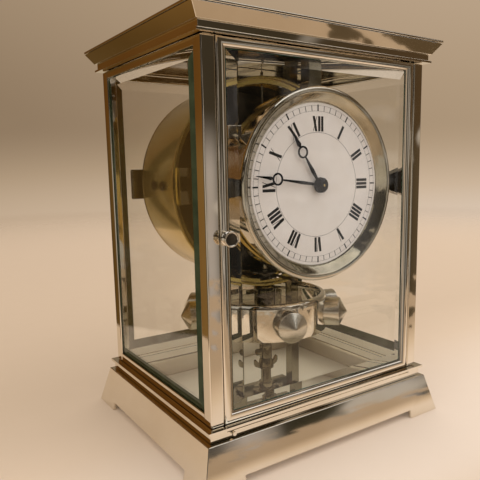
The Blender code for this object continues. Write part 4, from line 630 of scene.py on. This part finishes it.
def facing(normal, at):
    """A place whose local +Z points along normal and whose local +Y points up."""
    z = Vector(normal)
    y = Vector((0, 0, 1))
    return Matrix.Translation(at) @ Matrix((y.cross(z), y, z)).transposed().to_4x4()


for node, body, normal, slope_finish in (
        ("glass_left", "case", (-1, 0, 0), painted_dark_bevel), ("glass_right", "case", (1, 0, 0), painted_dark_bevel),
        ("glass_rear", "case", (0, 1, 0), painted_dark_bevel), ("door_glass", "door", (0, -1, 0), pane_glass)):
    low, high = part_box(node)
    size = high - low
    middle = (low + high) / 2 - Vector(normal) * (HALF_PACKED - HALF_EDGE)
    width = size.y if normal[0] else size.x
    piece = pane(node + "_pane", width, size.z, facing(normal, middle), slope_finish)
    dress(piece, body, pane_glass, node, slot="glass")
    print(node, [round(value, 4) for value in size])

# %% [markdown]
# ## Door
# The front door is a frame of moulded bar: a narrow flat, a low bead and a slope down to the glass.
# The moulding is one profile carried round a rectangle with mitred corners, which gives clean
# long surfaces. Its stiles and rails differ in width, so the profile is written in shares of it.

# %% Door frame
DOOR_STILE, DOOR_FOOT, DOOR_HEAD = 0.00575, 0.0055, 0.0048
DOOR_SHARES = [
    (0, 1), (0, 0.24), (0.03, 0.13), (0.09, 0.05), (0.18, 0.01), (0.30, 0), (0.46, 0.01), (0.60, 0.06),
    (0.72, 0.15), (0.80, 0.27), (0.86, 0.40), (1, 0.50), (1, 1)]


def smooth_faces(bm):
    bmesh.ops.recalc_face_normals(bm, faces=bm.faces)
    for face in bm.faces:
        face.smooth = True


door_low, door_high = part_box("door_frame")
bm = bmesh.new()
loops = []
for inward, deep in DOOR_SHARES:
    y = door_low.y + deep * (door_high.y - door_low.y)
    loops.append(rectangle(
        bm, door_high.x - inward * DOOR_STILE, door_low.z + inward * DOOR_FOOT,
        door_high.z - inward * DOOR_HEAD, lambda x, z: (x, y, z)))
for first, second in zip(loops, loops[1:] + loops[:1]):
    join_loops(bm, first, second)
smooth_faces(bm)
door = new_object("door_moulding", bm)
door.data.set_sharp_from_angle(angle=radians(35))
dress(door, "door", nickel, "door_frame")
print("door", [round(value, 4) for value in door_high - door_low])

# %% [markdown]
# ## Turned pieces
# Most of the movement comes off a lathe. A turned piece is a profile spun round its axis in many
# fine steps, with every corner of the profile rounded first. Corners that stay sharp are marked
# by their angle, so flat faces stay flat and curved ones stay smooth.


# %% Lathe
def rounded(points, radius, steps=3):
    """The profile with its inner corners rounded, never by more than the sides allow."""
    made = [points[0]]
    for before, corner, after in zip(points, points[1:], points[2:]):
        before, corner, after = Vector(before), Vector(corner), Vector(after)
        back, onward = before - corner, after - corner
        reach = min(radius, 0.4 * back.length, 0.4 * onward.length)
        if reach < 0.00002 or back.angle(onward, pi) > radians(172):
            made.append(tuple(corner))
            continue
        start, end = corner + back.normalized() * reach, corner + onward.normalized() * reach
        for i in range(steps + 1):
            t = i / steps
            made.append(tuple((1 - t) ** 2 * start + 2 * t * (1 - t) * corner + t ** 2 * end))
    made.append(points[-1])
    return made


def rod(radius, low, high):
    return [(0, low), (radius, low), (radius, high), (0, high)]


def circle_points(radius, sides):
    return [(radius * cos(2 * pi * i / sides), radius * sin(2 * pi * i / sides)) for i in range(sides)]


UP = Matrix()
FRONT = Matrix(((1, 0, 0, 0), (0, 0, 1, 0), (0, -1, 0, 0), (0, 0, 0, 1)))


def at(x, y, z, way=FRONT):
    return Matrix.Translation((x, y, z)) @ way


def turned(name, profile, place, steps=128, edge=0.0002, closed=False, sharp=40):
    """profile is (radius, place along the axis); the axis is local Z."""
    if closed:
        profile = profile + [profile[0]]
    outline = rounded(profile, edge) if edge else profile
    if closed:
        outline = outline[:-1]
    bm = bmesh.new()
    rings = []
    for radius, along in outline:
        flat = circle_points(radius, steps) if radius >= 0.000001 else [(0, 0)]
        rings.append([bm.verts.new((x, y, along)) for x, y in flat])
    for first, second in list(zip(rings, rings[1:])) + ([(rings[-1], rings[0])] if closed else []):
        for i in range(steps):
            around = ((first, i), (first, i + 1), (second, i + 1), (second, i))
            corners = list(dict.fromkeys(ring[n % len(ring)] for ring, n in around))
            if len(corners) > 2:
                bm.faces.new(corners)
    smooth_faces(bm)
    bm.transform(place)
    obj = new_object(name, bm)
    obj.data.set_sharp_from_angle(angle=radians(sharp))
    return obj


CENTRE, BALANCE_Y = 0.1504, -0.0025
QUARTER = [radians(angle) for angle in range(0, 91, 15)]
dial_axis = at(0, 0, CENTRE)
balance_axis = at(0, BALANCE_Y, 0, UP)


def off_axis(face, x=0, z=CENTRE):
    """How far a face lies from a line that runs from front to back."""
    return sqrt((face.center.x - x) ** 2 + (face.center.z - z) ** 2)


print("the hands turn at a height of", CENTRE)

# %% [markdown]
# ## Drum
# The drum is a shallow turned shell that tapers towards the back, with a small lip at its mouth
# and a slot above and below for the legs of the portal. It is cut by real boxes after turning,
# and a cover with a bearing closes its back. It is satin outside and grained inside.

# %% Drum shell and cover
LIP, NECK, TAIL, MOUTH, WALL = 0.0654, 0.0646, 0.0612, 0.061, 0.0015
LIP_FRONT, LIP_BACK, WALL_FRONT, DRUM_BACK = -0.011, -0.0094, -0.0082, 0.041
drum_profile = [
    (LIP, LIP_FRONT), (LIP, LIP_BACK), (NECK, WALL_FRONT), (TAIL, DRUM_BACK), (TAIL - WALL, DRUM_BACK),
    (MOUTH, -0.0073), (MOUTH, WALL_FRONT), (LIP - WALL, WALL_FRONT), (LIP - WALL, LIP_FRONT)]
drum = turned("drum_wall", drum_profile, dial_axis, steps=192, edge=0.0005, closed=True)
slot_cut = bar("slot_cut", (-0.027, -0.0073, CENTRE - 0.07), (0.027, 0.0023, CENTRE + 0.07), 0.0003)
star_cut = turned("star_cut", rod(0.00955, 0.0882, 0.0984), balance_axis, steps=48, edge=0)
drum = cut(drum, slot_cut, star_cut)
two_finishes(drum, satin_gilt, plate_gilt, lambda face: (
    face.normal.x * face.center.x + face.normal.z * (face.center.z - CENTRE) < -0.03))
dress(drum, "case", satin_gilt, "drum_shell", slot="gilt")
cover = turned("drum_back", [
    (0, 0.0413), (TAIL, 0.0413), (TAIL, 0.0428), (0.046, 0.0428), (0.0455, 0.0424), (0.0445, 0.0424),
    (0.044, 0.0428), (0.006, 0.0428), (0.006, 0.0448), (0.0015, 0.0448), (0.0015, 0.0443), (0, 0.0443)],
    dial_axis, steps=192)
dress(cover, "case", gilt, "drum_cover", slot="gilt")
print("drum faces", len(drum.data.polygons))
milled("drum_strap", gilt, 0.0004, slot="gilt")
milled("rear_bar", dark_steel_and_painted_shade, 0.0003, slot="steel")
milled("axle_bridge", gilt, 0.0002, slot="gilt")

# %% [markdown]
# ## Stand and portal
# A small bridge-shaped stand on the floor plate carries two square legs, which rise through the
# drum and meet in an arch under the ceiling. They are sawn and polished bar, so copies of the
# imported solids with rounded edges will do.

# %% Stand and portal
# The stand, the portal and the neck get the darker nickel, which is painted shade.
milled("movement_stand", nickel_painted_shade, 0.0004)
milled("portal", nickel_painted_shade, 0.0006, angle=40)
milled("floor_plate", floor_metal, 0.0002, slot="floor")
# The dial bar lies in shade behind the bezel; its dark finish is painted shade.
milled("dial_bar", dark_steel_and_painted_shade, 0.0004)
milled("bezel_neck", nickel_painted_shade, 0.0003, angle=40)

# %% [markdown]
# ## Bezel
# The dial lies in a deep turned ring. Its front rolls over to the outside, and on the inside it
# falls to the dial in a broad slope that mirrors the room as a mottled band. Its dark patches are
# painted reflection, put into the colour of its finish.

# %% Bezel
SIGHT, CREST, RIM, COVER = 0.0452, 0.0505, 0.0537, 0.052
CREST_Y, SLOPE_END, CREST_FLAT = -0.0618, -0.0570, 0.0004
rolled = [(CREST + (RIM - CREST) * (0.45 + 0.55 * sin(angle)), CREST_Y + 0.0021 * (1 - cos(angle)))
          for angle in QUARTER]
slope = [(SIGHT + (CREST - SIGHT) * t, SLOPE_END - 0.0048 * t ** 1.15) for t in (0.2, 0.4, 0.6, 0.8, 0.93)]
behind = [
    (RIM, -0.0594), (COVER + 0.0006, -0.0587), (COVER, -0.0582), (COVER, -0.04), (COVER - 0.0015, -0.04),
    (COVER - 0.0015, -0.054), (0.0473, -0.054), (0.0473, -0.0565), (SIGHT, -0.0565)]
bezel_profile = [(SIGHT, SLOPE_END)] + slope + [(CREST + CREST_FLAT, CREST_Y)] + rolled + behind
bezel = turned("dial_bezel", bezel_profile, dial_axis, steps=192, edge=0.0003, closed=True)
bar_cut = bar("bar_cut", (-0.06, -0.0543, CENTRE - 0.005), (0.06, -0.036, CENTRE + 0.005), 0.0002)
bezel = cut(bezel, bar_cut)
# The slope of the bezel takes the finish with the painted reflection.
two_finishes(bezel, silvered, nickel, lambda face: off_axis(face) >= CREST + CREST_FLAT)
dress(bezel, "case", nickel, "bezel")
bracket = bar("bezel_bracket", (-0.0495, -0.0475, 0.176), (-0.0441, -0.0425, 0.1827), 0.0004)
dress(bracket, "case", nickel)
print("bezel faces", len(bezel.data.polygons))

# %% [markdown]
# ## Dial
# The enamel disc is slightly domed at its edge. The figures are not type from a font: a dial
# painter builds Roman numerals from straight strokes, thick ones and hairlines, and leans them
# towards the centre. The same is done here with thin plates laid on the enamel.

# %% Dial plate and numerals
DIAL_Y, INK_BACK, INK_FRONT = -0.0567, -0.05671, -0.05676
dial = turned("dial_plate", [
    (0.0024, -0.0557), (0.047, -0.0557), (0.047, -0.0565), (0.0462, DIAL_Y), (0.0024, DIAL_Y)],
    dial_axis, steps=160, closed=True)
dress(dial, "case", enamel, "dial", slot="enamel")

FIGURES = ["XII", "I", "II", "III", "IIII", "V", "VI", "VII", "VIII", "IX", "X", "XI"]
FIGURE_LOW, FIGURE_HIGH = 0.0296, 0.0379
THICK, THIN, GAP = 0.0016, 0.00032, 0.00056
WIDTHS = {"I": THICK, "V": 0.0030, "X": 0.0034}


def strokes(word):
    """The strokes of a numeral as (foot x, head x, width), and the whole width."""
    made = []
    x = 0
    for letter in word:
        wide = WIDTHS[letter]
        left = x + THICK / 2
        if letter == "I":
            made.append((left, left, THICK))
        elif letter == "V":
            made += [(x + wide * 0.58, left, THICK), (x + wide * 0.58 + THICK * 0.3, x + wide, THIN)]
        else:
            made += [(x + wide - THICK / 2, left, THICK), (x + THIN, x + wide - THIN, THIN)]
        x += wide + GAP
    return made, x - GAP


def numeral(bm, word, angle):
    """Lays the strokes of one numeral at its hour, its foot towards the centre."""
    made, width = strokes(word)
    turn_by = Matrix.Rotation(-radians(angle), 4, "Z")
    for foot_x, head_x, thick in made:
        base = [(foot_x - thick / 2, FIGURE_LOW), (foot_x + thick / 2, FIGURE_LOW),
                (head_x + thick / 2, FIGURE_HIGH), (head_x - thick / 2, FIGURE_HIGH)]
        corners = [turn_by @ Vector((x - width / 2, y, 0)) for x, y in base]
        back, front = ([bm.verts.new((c.x, depth, CENTRE + c.y)) for c in corners]
                       for depth in (INK_BACK, INK_FRONT))
        bm.faces.new(front)
        bm.faces.new(back[::-1])
        join_loops(bm, back, front)
    return len(made)


bm = bmesh.new()
count = sum(numeral(bm, word, 30 * hour) for hour, word in enumerate(FIGURES))
bmesh.ops.recalc_face_normals(bm, faces=bm.faces)
dress(new_object("dial_figures", bm), "case", figure_paint, slot=None)
print("numerals of", count, "strokes")

# %% [markdown]
# ## Marks that repeat
# The minute track has sixty thin ticks and twelve heavy ones. What repeats round a circle is work
# for Geometry Nodes: one tree places a block at each point of a circle and turns it outwards. Its
# count, its circle and the size of its block are inputs, so it serves for both kinds of tick.


# %% Ring of blocks
def ring_tree():
    tree = bpy.data.node_groups.new("ring_of_blocks", "GeometryNodeTree")
    sockets = {}
    kinds = {"Count": "Int", "Circle Radius": "Float", "Block Size": "Vector", "Finish": "Material"}
    for name, kind in kinds.items():
        socket = tree.interface.new_socket(name=name, in_out="INPUT", socket_type="NodeSocket" + kind)
        sockets[name] = socket.identifier
    tree.interface.new_socket(name="Geometry", in_out="OUTPUT", socket_type="NodeSocketGeometry")
    given = add_node(tree, "NodeGroupInput").outputs
    circle = add_node(tree, "GeometryNodeMeshCircle", {
        "Vertices": given["Count"], "Radius": given["Circle Radius"]})
    block = add_node(tree, "GeometryNodeMeshCube", {"Size": given["Block Size"]})
    index = add_node(tree, "GeometryNodeInputIndex").outputs[0]
    angle = add_math(tree, "MULTIPLY", index, add_math(tree, "DIVIDE", 2 * pi, given["Count"]))
    turning = add_node(tree, "CombineXYZ", {"Z": angle}).outputs[0]
    placed = add_node(tree, "GeometryNodeInstanceOnPoints", {
        "Points": circle.outputs["Mesh"], "Instance": block.outputs["Mesh"], "Rotation": turning})
    real = add_node(tree, "GeometryNodeRealizeInstances", {"Geometry": placed.outputs[0]})
    done = add_node(tree, "GeometryNodeSetMaterial", {
        "Geometry": real.outputs[0], "Material": given["Finish"]})
    add_node(tree, "NodeGroupOutput", {"Geometry": done.outputs[0]})
    return tree, sockets


RING_TREE, RING_SOCKETS = ring_tree()


def ring_of_blocks(name, count, radius, size, finish, place):
    """A plain mesh from the tree and its named inputs, put in its place."""
    host = link_new(name, bpy.data.meshes.new(name))
    modifier = host.modifiers.new("grown", "NODES")
    modifier.node_group = RING_TREE
    values = {"Count": count, "Circle Radius": radius, "Block Size": size, "Finish": finish}
    for key, value in values.items():
        modifier[RING_SOCKETS[key]] = value
    obj = settle(host, place)
    print(name, "has", count, "blocks and", len(obj.data.polygons), "faces")
    return obj


# %% Minute track
TICK_Y, TRACK_FRONT = -0.05674, -0.05675
for name, count, radius, size, finish in (
        ("minute_ticks", 60, 0.0422, (0.0030, 0.00042, 0.00004), track_paint),
        ("hour_ticks", 12, 0.0424, (0.0035, 0.00085, 0.00006), figure_paint)):
    ticks = ring_of_blocks(name, count, radius, size, finish, at(0, TICK_Y, CENTRE))
    dress(ticks, "case", finish, slot=None)
for name, radius, width in (
        ("track_circle_outer", 0.0436, 0.00012), ("track_circle_inner", 0.0406, 0.00012),
        ("figure_circle", 0.0290, 0.00018)):
    outer = radius + width
    section = [(radius, INK_BACK), (outer, INK_BACK), (outer, TRACK_FRONT), (radius, TRACK_FRONT)]
    circle = turned(name, section, dial_axis, steps=180, edge=0, closed=True)
    dress(circle, "case", track_paint, slot=None)

# %% [markdown]
# ## Hands
# The hands are sawn from thin steel: a slim blade, a pierced moon near its end and a fine point. A
# flat outline with a hole, given a thickness and a tiny rounding, is how the real ones are made.
# A domed cap holds them, with the gilt end of the arbor in its middle.


# %% Hands
def arc_points(middle_y, radius, start, end, count):
    angles = [radians(start + (end - start) * i / (count - 1)) for i in range(count)]
    return [(radius * cos(angle), middle_y + radius * sin(angle)) for angle in angles]


def sawn(name, outlines, thickness, place, edge=0.00008):
    """A flat plate with holes, in the plane of local X and Y, its back at local z 0."""
    curve = bpy.data.curves.new(name, "CURVE")
    curve.dimensions = "2D"
    curve.fill_mode = "BOTH"
    curve.extrude = thickness / 2 - edge
    curve.bevel_depth = edge
    curve.bevel_resolution = 1
    curve.offset = -edge
    for outline in outlines:
        spline = curve.splines.new("POLY")
        spline.points.add(len(outline) - 1)
        for point, (x, y) in zip(spline.points, outline):
            point.co = (x, y, 0, 1)
        spline.use_cyclic_u = True
    flat = settle(link_new(name, curve), place @ Matrix.Translation((0, 0, thickness / 2)))
    bm = bmesh.new()
    bm.from_mesh(flat.data)
    bmesh.ops.remove_doubles(bm, verts=bm.verts, dist=0.000001)
    for face in bm.faces:
        face.smooth = True
    bm.to_mesh(flat.data)
    bm.free()
    flat.data.set_sharp_from_angle(angle=radians(30))
    return flat


HAND_STEM, MOON, MOON_HOLE, HAND_TIP, HAND_THICK = 0.00045, 0.0034, 0.0024, 0.00018, 0.0005
HAND_WAY = Matrix(((1, 0, 0, 0), (0, 0, -1, 0), (0, 1, 0, 0), (0, 0, 0, 1)))


def hand(name, angle, y, length, moon_at, boss, bore, swell, blade):
    """The outline runs round the boss, out along one side, over the point and back."""
    moon_foot = moon_at - sqrt(MOON ** 2 - HAND_STEM ** 2)
    side = [(blade, moon_at + MOON + 0.0012), (blade * 0.7, moon_at + MOON + 0.0042), (HAND_TIP, length)]
    outline = arc_points(0, boss, 100, 440, 41)
    outline += [(swell, 0.42 * moon_at), (HAND_STEM, moon_foot)]
    outline += arc_points(moon_at, MOON, -80, 80, 25)
    outline += side + [(-x, along) for x, along in reversed(side)]
    outline += arc_points(moon_at, MOON, 100, 260, 25)
    outline += [(-HAND_STEM, moon_foot), (-swell, 0.42 * moon_at)]
    hole = [(x, moon_at + along) for x, along in circle_points(MOON_HOLE, 36)]
    place = at(0, y, CENTRE, HAND_WAY) @ Matrix.Rotation(-radians(angle), 4, "Z")
    print(name, "points", angle, "degrees from twelve")
    return sawn(name, [outline, hole, circle_points(bore, 20)], HAND_THICK, place)


minute = hand("minute_blade", -82.4, -0.0596, 0.0443, 0.0304, 0.0042, 0.0009, 0.00095, 0.0010)
dress(minute, "centre", blued_steel, "minute_hand", slot="blackened")
hour = hand("hour_blade", -33.8, -0.0584, 0.0335, 0.0219, 0.0044, 0.0022, 0.00115, 0.00135)
dress(hour, "hour", blued_steel, "hour_hand", slot="blackened")
ARBOR = 0.0007
cap = turned("hand_cap", [
    (0, -0.0623), (ARBOR, -0.0623), (0.002, -0.0621), (0.0036, -0.0614), (0.0042, -0.0607),
    (0.0042, -0.0602), (0, -0.0602)], dial_axis, steps=48, edge=0.0001)
two_finishes(cap, blued_steel, gilt, lambda face: off_axis(face) < ARBOR and face.center.y < -0.0620)
dress(cap, "centre", blued_steel, slot="blackened")

# %% [markdown]
# ## Knob of the door
# A small turned knob latches the door. It has a narrow waist, a thin bright rim and a slightly
# sunken dark face. Behind the stile a stem and a tongue reach into the post's mortise.

# %% Knob
KNOB_Z, KNOB_RADIUS, KNOB_FACE, DOOR_FACE = 0.1267, 0.0039, 0.0031, -0.06625
STEM_RADIUS, STEM_FRONT, STEM_BACK, TONGUE_HALF, TONGUE_TOP = 0.0008, -0.0664, -0.0624, 0.0012, 0.1322
KNOB_SHARES = [
    (0, 0.93), (0.74, 0.93), (0.80, 0.97), (0.86, 1), (0.94, 1), (1, 0.97), (1, 0.82), (0.92, 0.77),
    (0.64, 0.68), (0.52, 0.56), (0.52, 0.50), (0.62, 0.40), (0.80, 0.33), (0.90, 0.26), (0.93, 0.18),
    (0.90, 0.10), (0.84, 0.05), (0.56, 0), (0, 0)]
knob_low, knob_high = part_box("door_knob")
knob_x = (knob_low.x + knob_high.x) / 2
knob_length = DOOR_FACE - knob_low.y
knob_axis = at(knob_x, 0, KNOB_Z)
knob_profile = [(KNOB_RADIUS * radius, DOOR_FACE - knob_length * share) for radius, share in KNOB_SHARES]
knob = turned("knob_turned", knob_profile, knob_axis, steps=72)
two_finishes(knob, nickel, dark_steel_and_painted_shade, lambda face: (
    off_axis(face, knob_x, KNOB_Z) < KNOB_FACE and face.center.y < knob_low.y + 0.0008))
dress(knob, "knob", nickel, "door_knob")
stem = turned("knob_stem", rod(STEM_RADIUS, STEM_FRONT, STEM_BACK), knob_axis, steps=24, edge=0)
dress(stem, "knob", steel, slot="steel")
tongue = bar("knob_tongue", (knob_x - TONGUE_HALF, STEM_BACK, KNOB_Z - TONGUE_HALF),
             (knob_x + TONGUE_HALF, -0.0612, TONGUE_TOP), 0.0002)
dress(tongue, "knob", steel, slot="steel")
print("knob length", round(knob_length, 4))

# %% [markdown]
# ## Balance
# The balance is a heavy turned ring with a web across it, hung by its hub from the wire. Its outer
# wall is a tall mirror. Six weights with cone ends stand out of it, each turned and then hollowed
# at its foot to sit on the ring's curve.

# %% Balance ring
RING, INNER, MOUTH_IN, RING_LOW, SHOULDER, TOP = 0.0404, 0.038, 0.0366, 0.057, 0.0762, 0.0798
shoulder = [(INNER + (RING - INNER) * cos(angle), SHOULDER + (TOP - SHOULDER) * sin(angle))
            for angle in QUARTER[::-1]]
ring_profile = shoulder + [
    (RING, RING_LOW), (INNER, RING_LOW), (INNER, 0.075), (MOUTH_IN, SHOULDER), (MOUTH_IN, TOP)]
ring = turned("balance_rim", ring_profile, balance_axis, steps=192, edge=0.0003, closed=True)
dress(ring, "balance", nickel, "balance_ring")
web_low, web_high = (-0.0045, BALANCE_Y - 0.0385, 0.062), (0.0045, BALANCE_Y + 0.0385, 0.064)
web = bar("balance_web", web_low, web_high, 0.0004)
dress(web, "balance", nickel)
eye = turned("balance_eye", rod(0.009, 0.0619, 0.0641), balance_axis, steps=64)
dress(eye, "balance", nickel)
hub = turned("balance_boss", [
    (0, 0.094), (0.002, 0.094), (0.002, 0.0885), (0.003, 0.0885), (0.003, 0.0843), (0.0055, 0.0843),
    (0.0062, 0.0838), (0.007, 0.0828), (0.007, 0.07), (0.0066, 0.0694), (0.0066, 0.068), (0.007, 0.0674),
    (0.007, 0.0646), (0.005, 0.0646), (0.005, 0.0614), (0.006, 0.0614), (0.006, 0.0575), (0.002, 0.0555),
    (0, 0.0555)], balance_axis, steps=96)
# The hub gets the darker nickel, which is painted shade.
dress(hub, "balance", nickel_painted_shade, "balance_hub")
print("balance ring faces", len(ring.data.polygons))

# %% Weights
WEIGHT_Z, OUTWARD = 0.0678, Matrix.Rotation(pi / 2, 4, "Y")
WEIGHT_PROFILE = [
    (0, 0.0539), (0.0008, 0.0537), (0.0088, 0.04925), (0.0092, 0.0489), (0.0092, 0.0374), (0, 0.0374)]
for number, angle in enumerate((-105.5, 74.5, -46, 134, -17, 163), 1):
    place = at(0, BALANCE_Y, WEIGHT_Z, Matrix.Rotation(radians(angle), 4, "Z") @ OUTWARD)
    weight = turned(f"weight_{number}", WEIGHT_PROFILE, place, steps=72, edge=0.00025, sharp=28)
    round_cut = turned("round_cut", rod(0.0405, 0.05, 0.088), balance_axis, steps=192, edge=0)
    dress(cut(weight, round_cut), "balance", nickel_cone, f"balance_weight_{number}")
print("six weights turned")

# %% [markdown]
# ## Star roller, wire and lock
# Over the balance sits a dark star roller that drives the pallets once a swing. Below it stands
# the lock: a threaded post with a wing nut that lifts a cup under the balance for travel.

# %% Star and wire
milled("star_roller", dark_steel_and_painted_shade, 0.00012, "balance", "steel", angle=50)
wire = turned("hanging_wire", [
    (0, 0.2245), (0.0003, 0.2245), (0.0003, 0.2195), (0.0009, 0.2192), (0.0009, 0.2168), (0.0003, 0.2165),
    (0.0003, 0.098), (0.0016, 0.0978), (0.0016, 0.094), (0, 0.094)], balance_axis, steps=24, edge=0.00008)
dress(wire, "balance", steel, "suspension_wire", slot="steel")

# %% Lock
column = turned("lock_column", [
    (0, 0.0505), (0.002, 0.0505), (0.002, 0.0341), (0.0034, 0.0341), (0.0034, 0.0175), (0.005, 0.0175),
    (0.005, 0.0142), (0.0046, 0.0139), (0.0046, 0.0135), (0.005, 0.0132), (0.005, 0.0127), (0.009, 0.0127),
    (0.009, 0.0109), (0, 0.0109)], balance_axis, steps=64)
dress(column, "case", steel, "lock_post", slot="steel")
sleeve = turned("lock_cup", [
    (0.0021, 0.0524), (0.005, 0.0524), (0.0054, 0.052), (0.0054, 0.0484), (0.0042, 0.0472),
    (0.0042, 0.044), (0.0038, 0.0437), (0.0038, 0.0432), (0.0042, 0.0429), (0.0042, 0.0344),
    (0.0021, 0.0344)], balance_axis, steps=64, closed=True)
dress(sleeve, "sleeve", steel, "lock_sleeve", slot="steel")
milled("wing_nut", steel, 0.0003, "nut", "steel", angle=45)
milled("thumb_screw", steel, 0.0002, "thumb", "steel", angle=45)
print("lock stands on the movement stand")

# %% [markdown]
# ## What lies deeper
# The motor, the train and the plates are seen only in glimpses between the dial and the drum. Their
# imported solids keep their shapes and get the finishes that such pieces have.

# %% Finishes of the inner pieces
INNER_FINISHES = {
    steel: "hinge_pin_low hinge_pin_top winding_arbor",
    black_steel: "drum_screw_left_front drum_screw_left_rear drum_screw_right_front drum_screw_right_rear",
    dark_steel_and_painted_shade: "motor_axle pallet_lever",
    vessel_glass: "motor_vessel",
    quicksilver: "mercury_fill",
    plate_gilt: "back_plate front_plate barrel centre_wheel third_wheel escape_wheel motion_wheel "
                "hour_wheel"}
for finish, nodes in INNER_FINISHES.items():
    for node in nodes.split():
        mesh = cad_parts[node].data
        for index in range(len(mesh.materials)):
            mesh.materials[index] = finish
print("inner finishes", len(INNER_FINISHES))
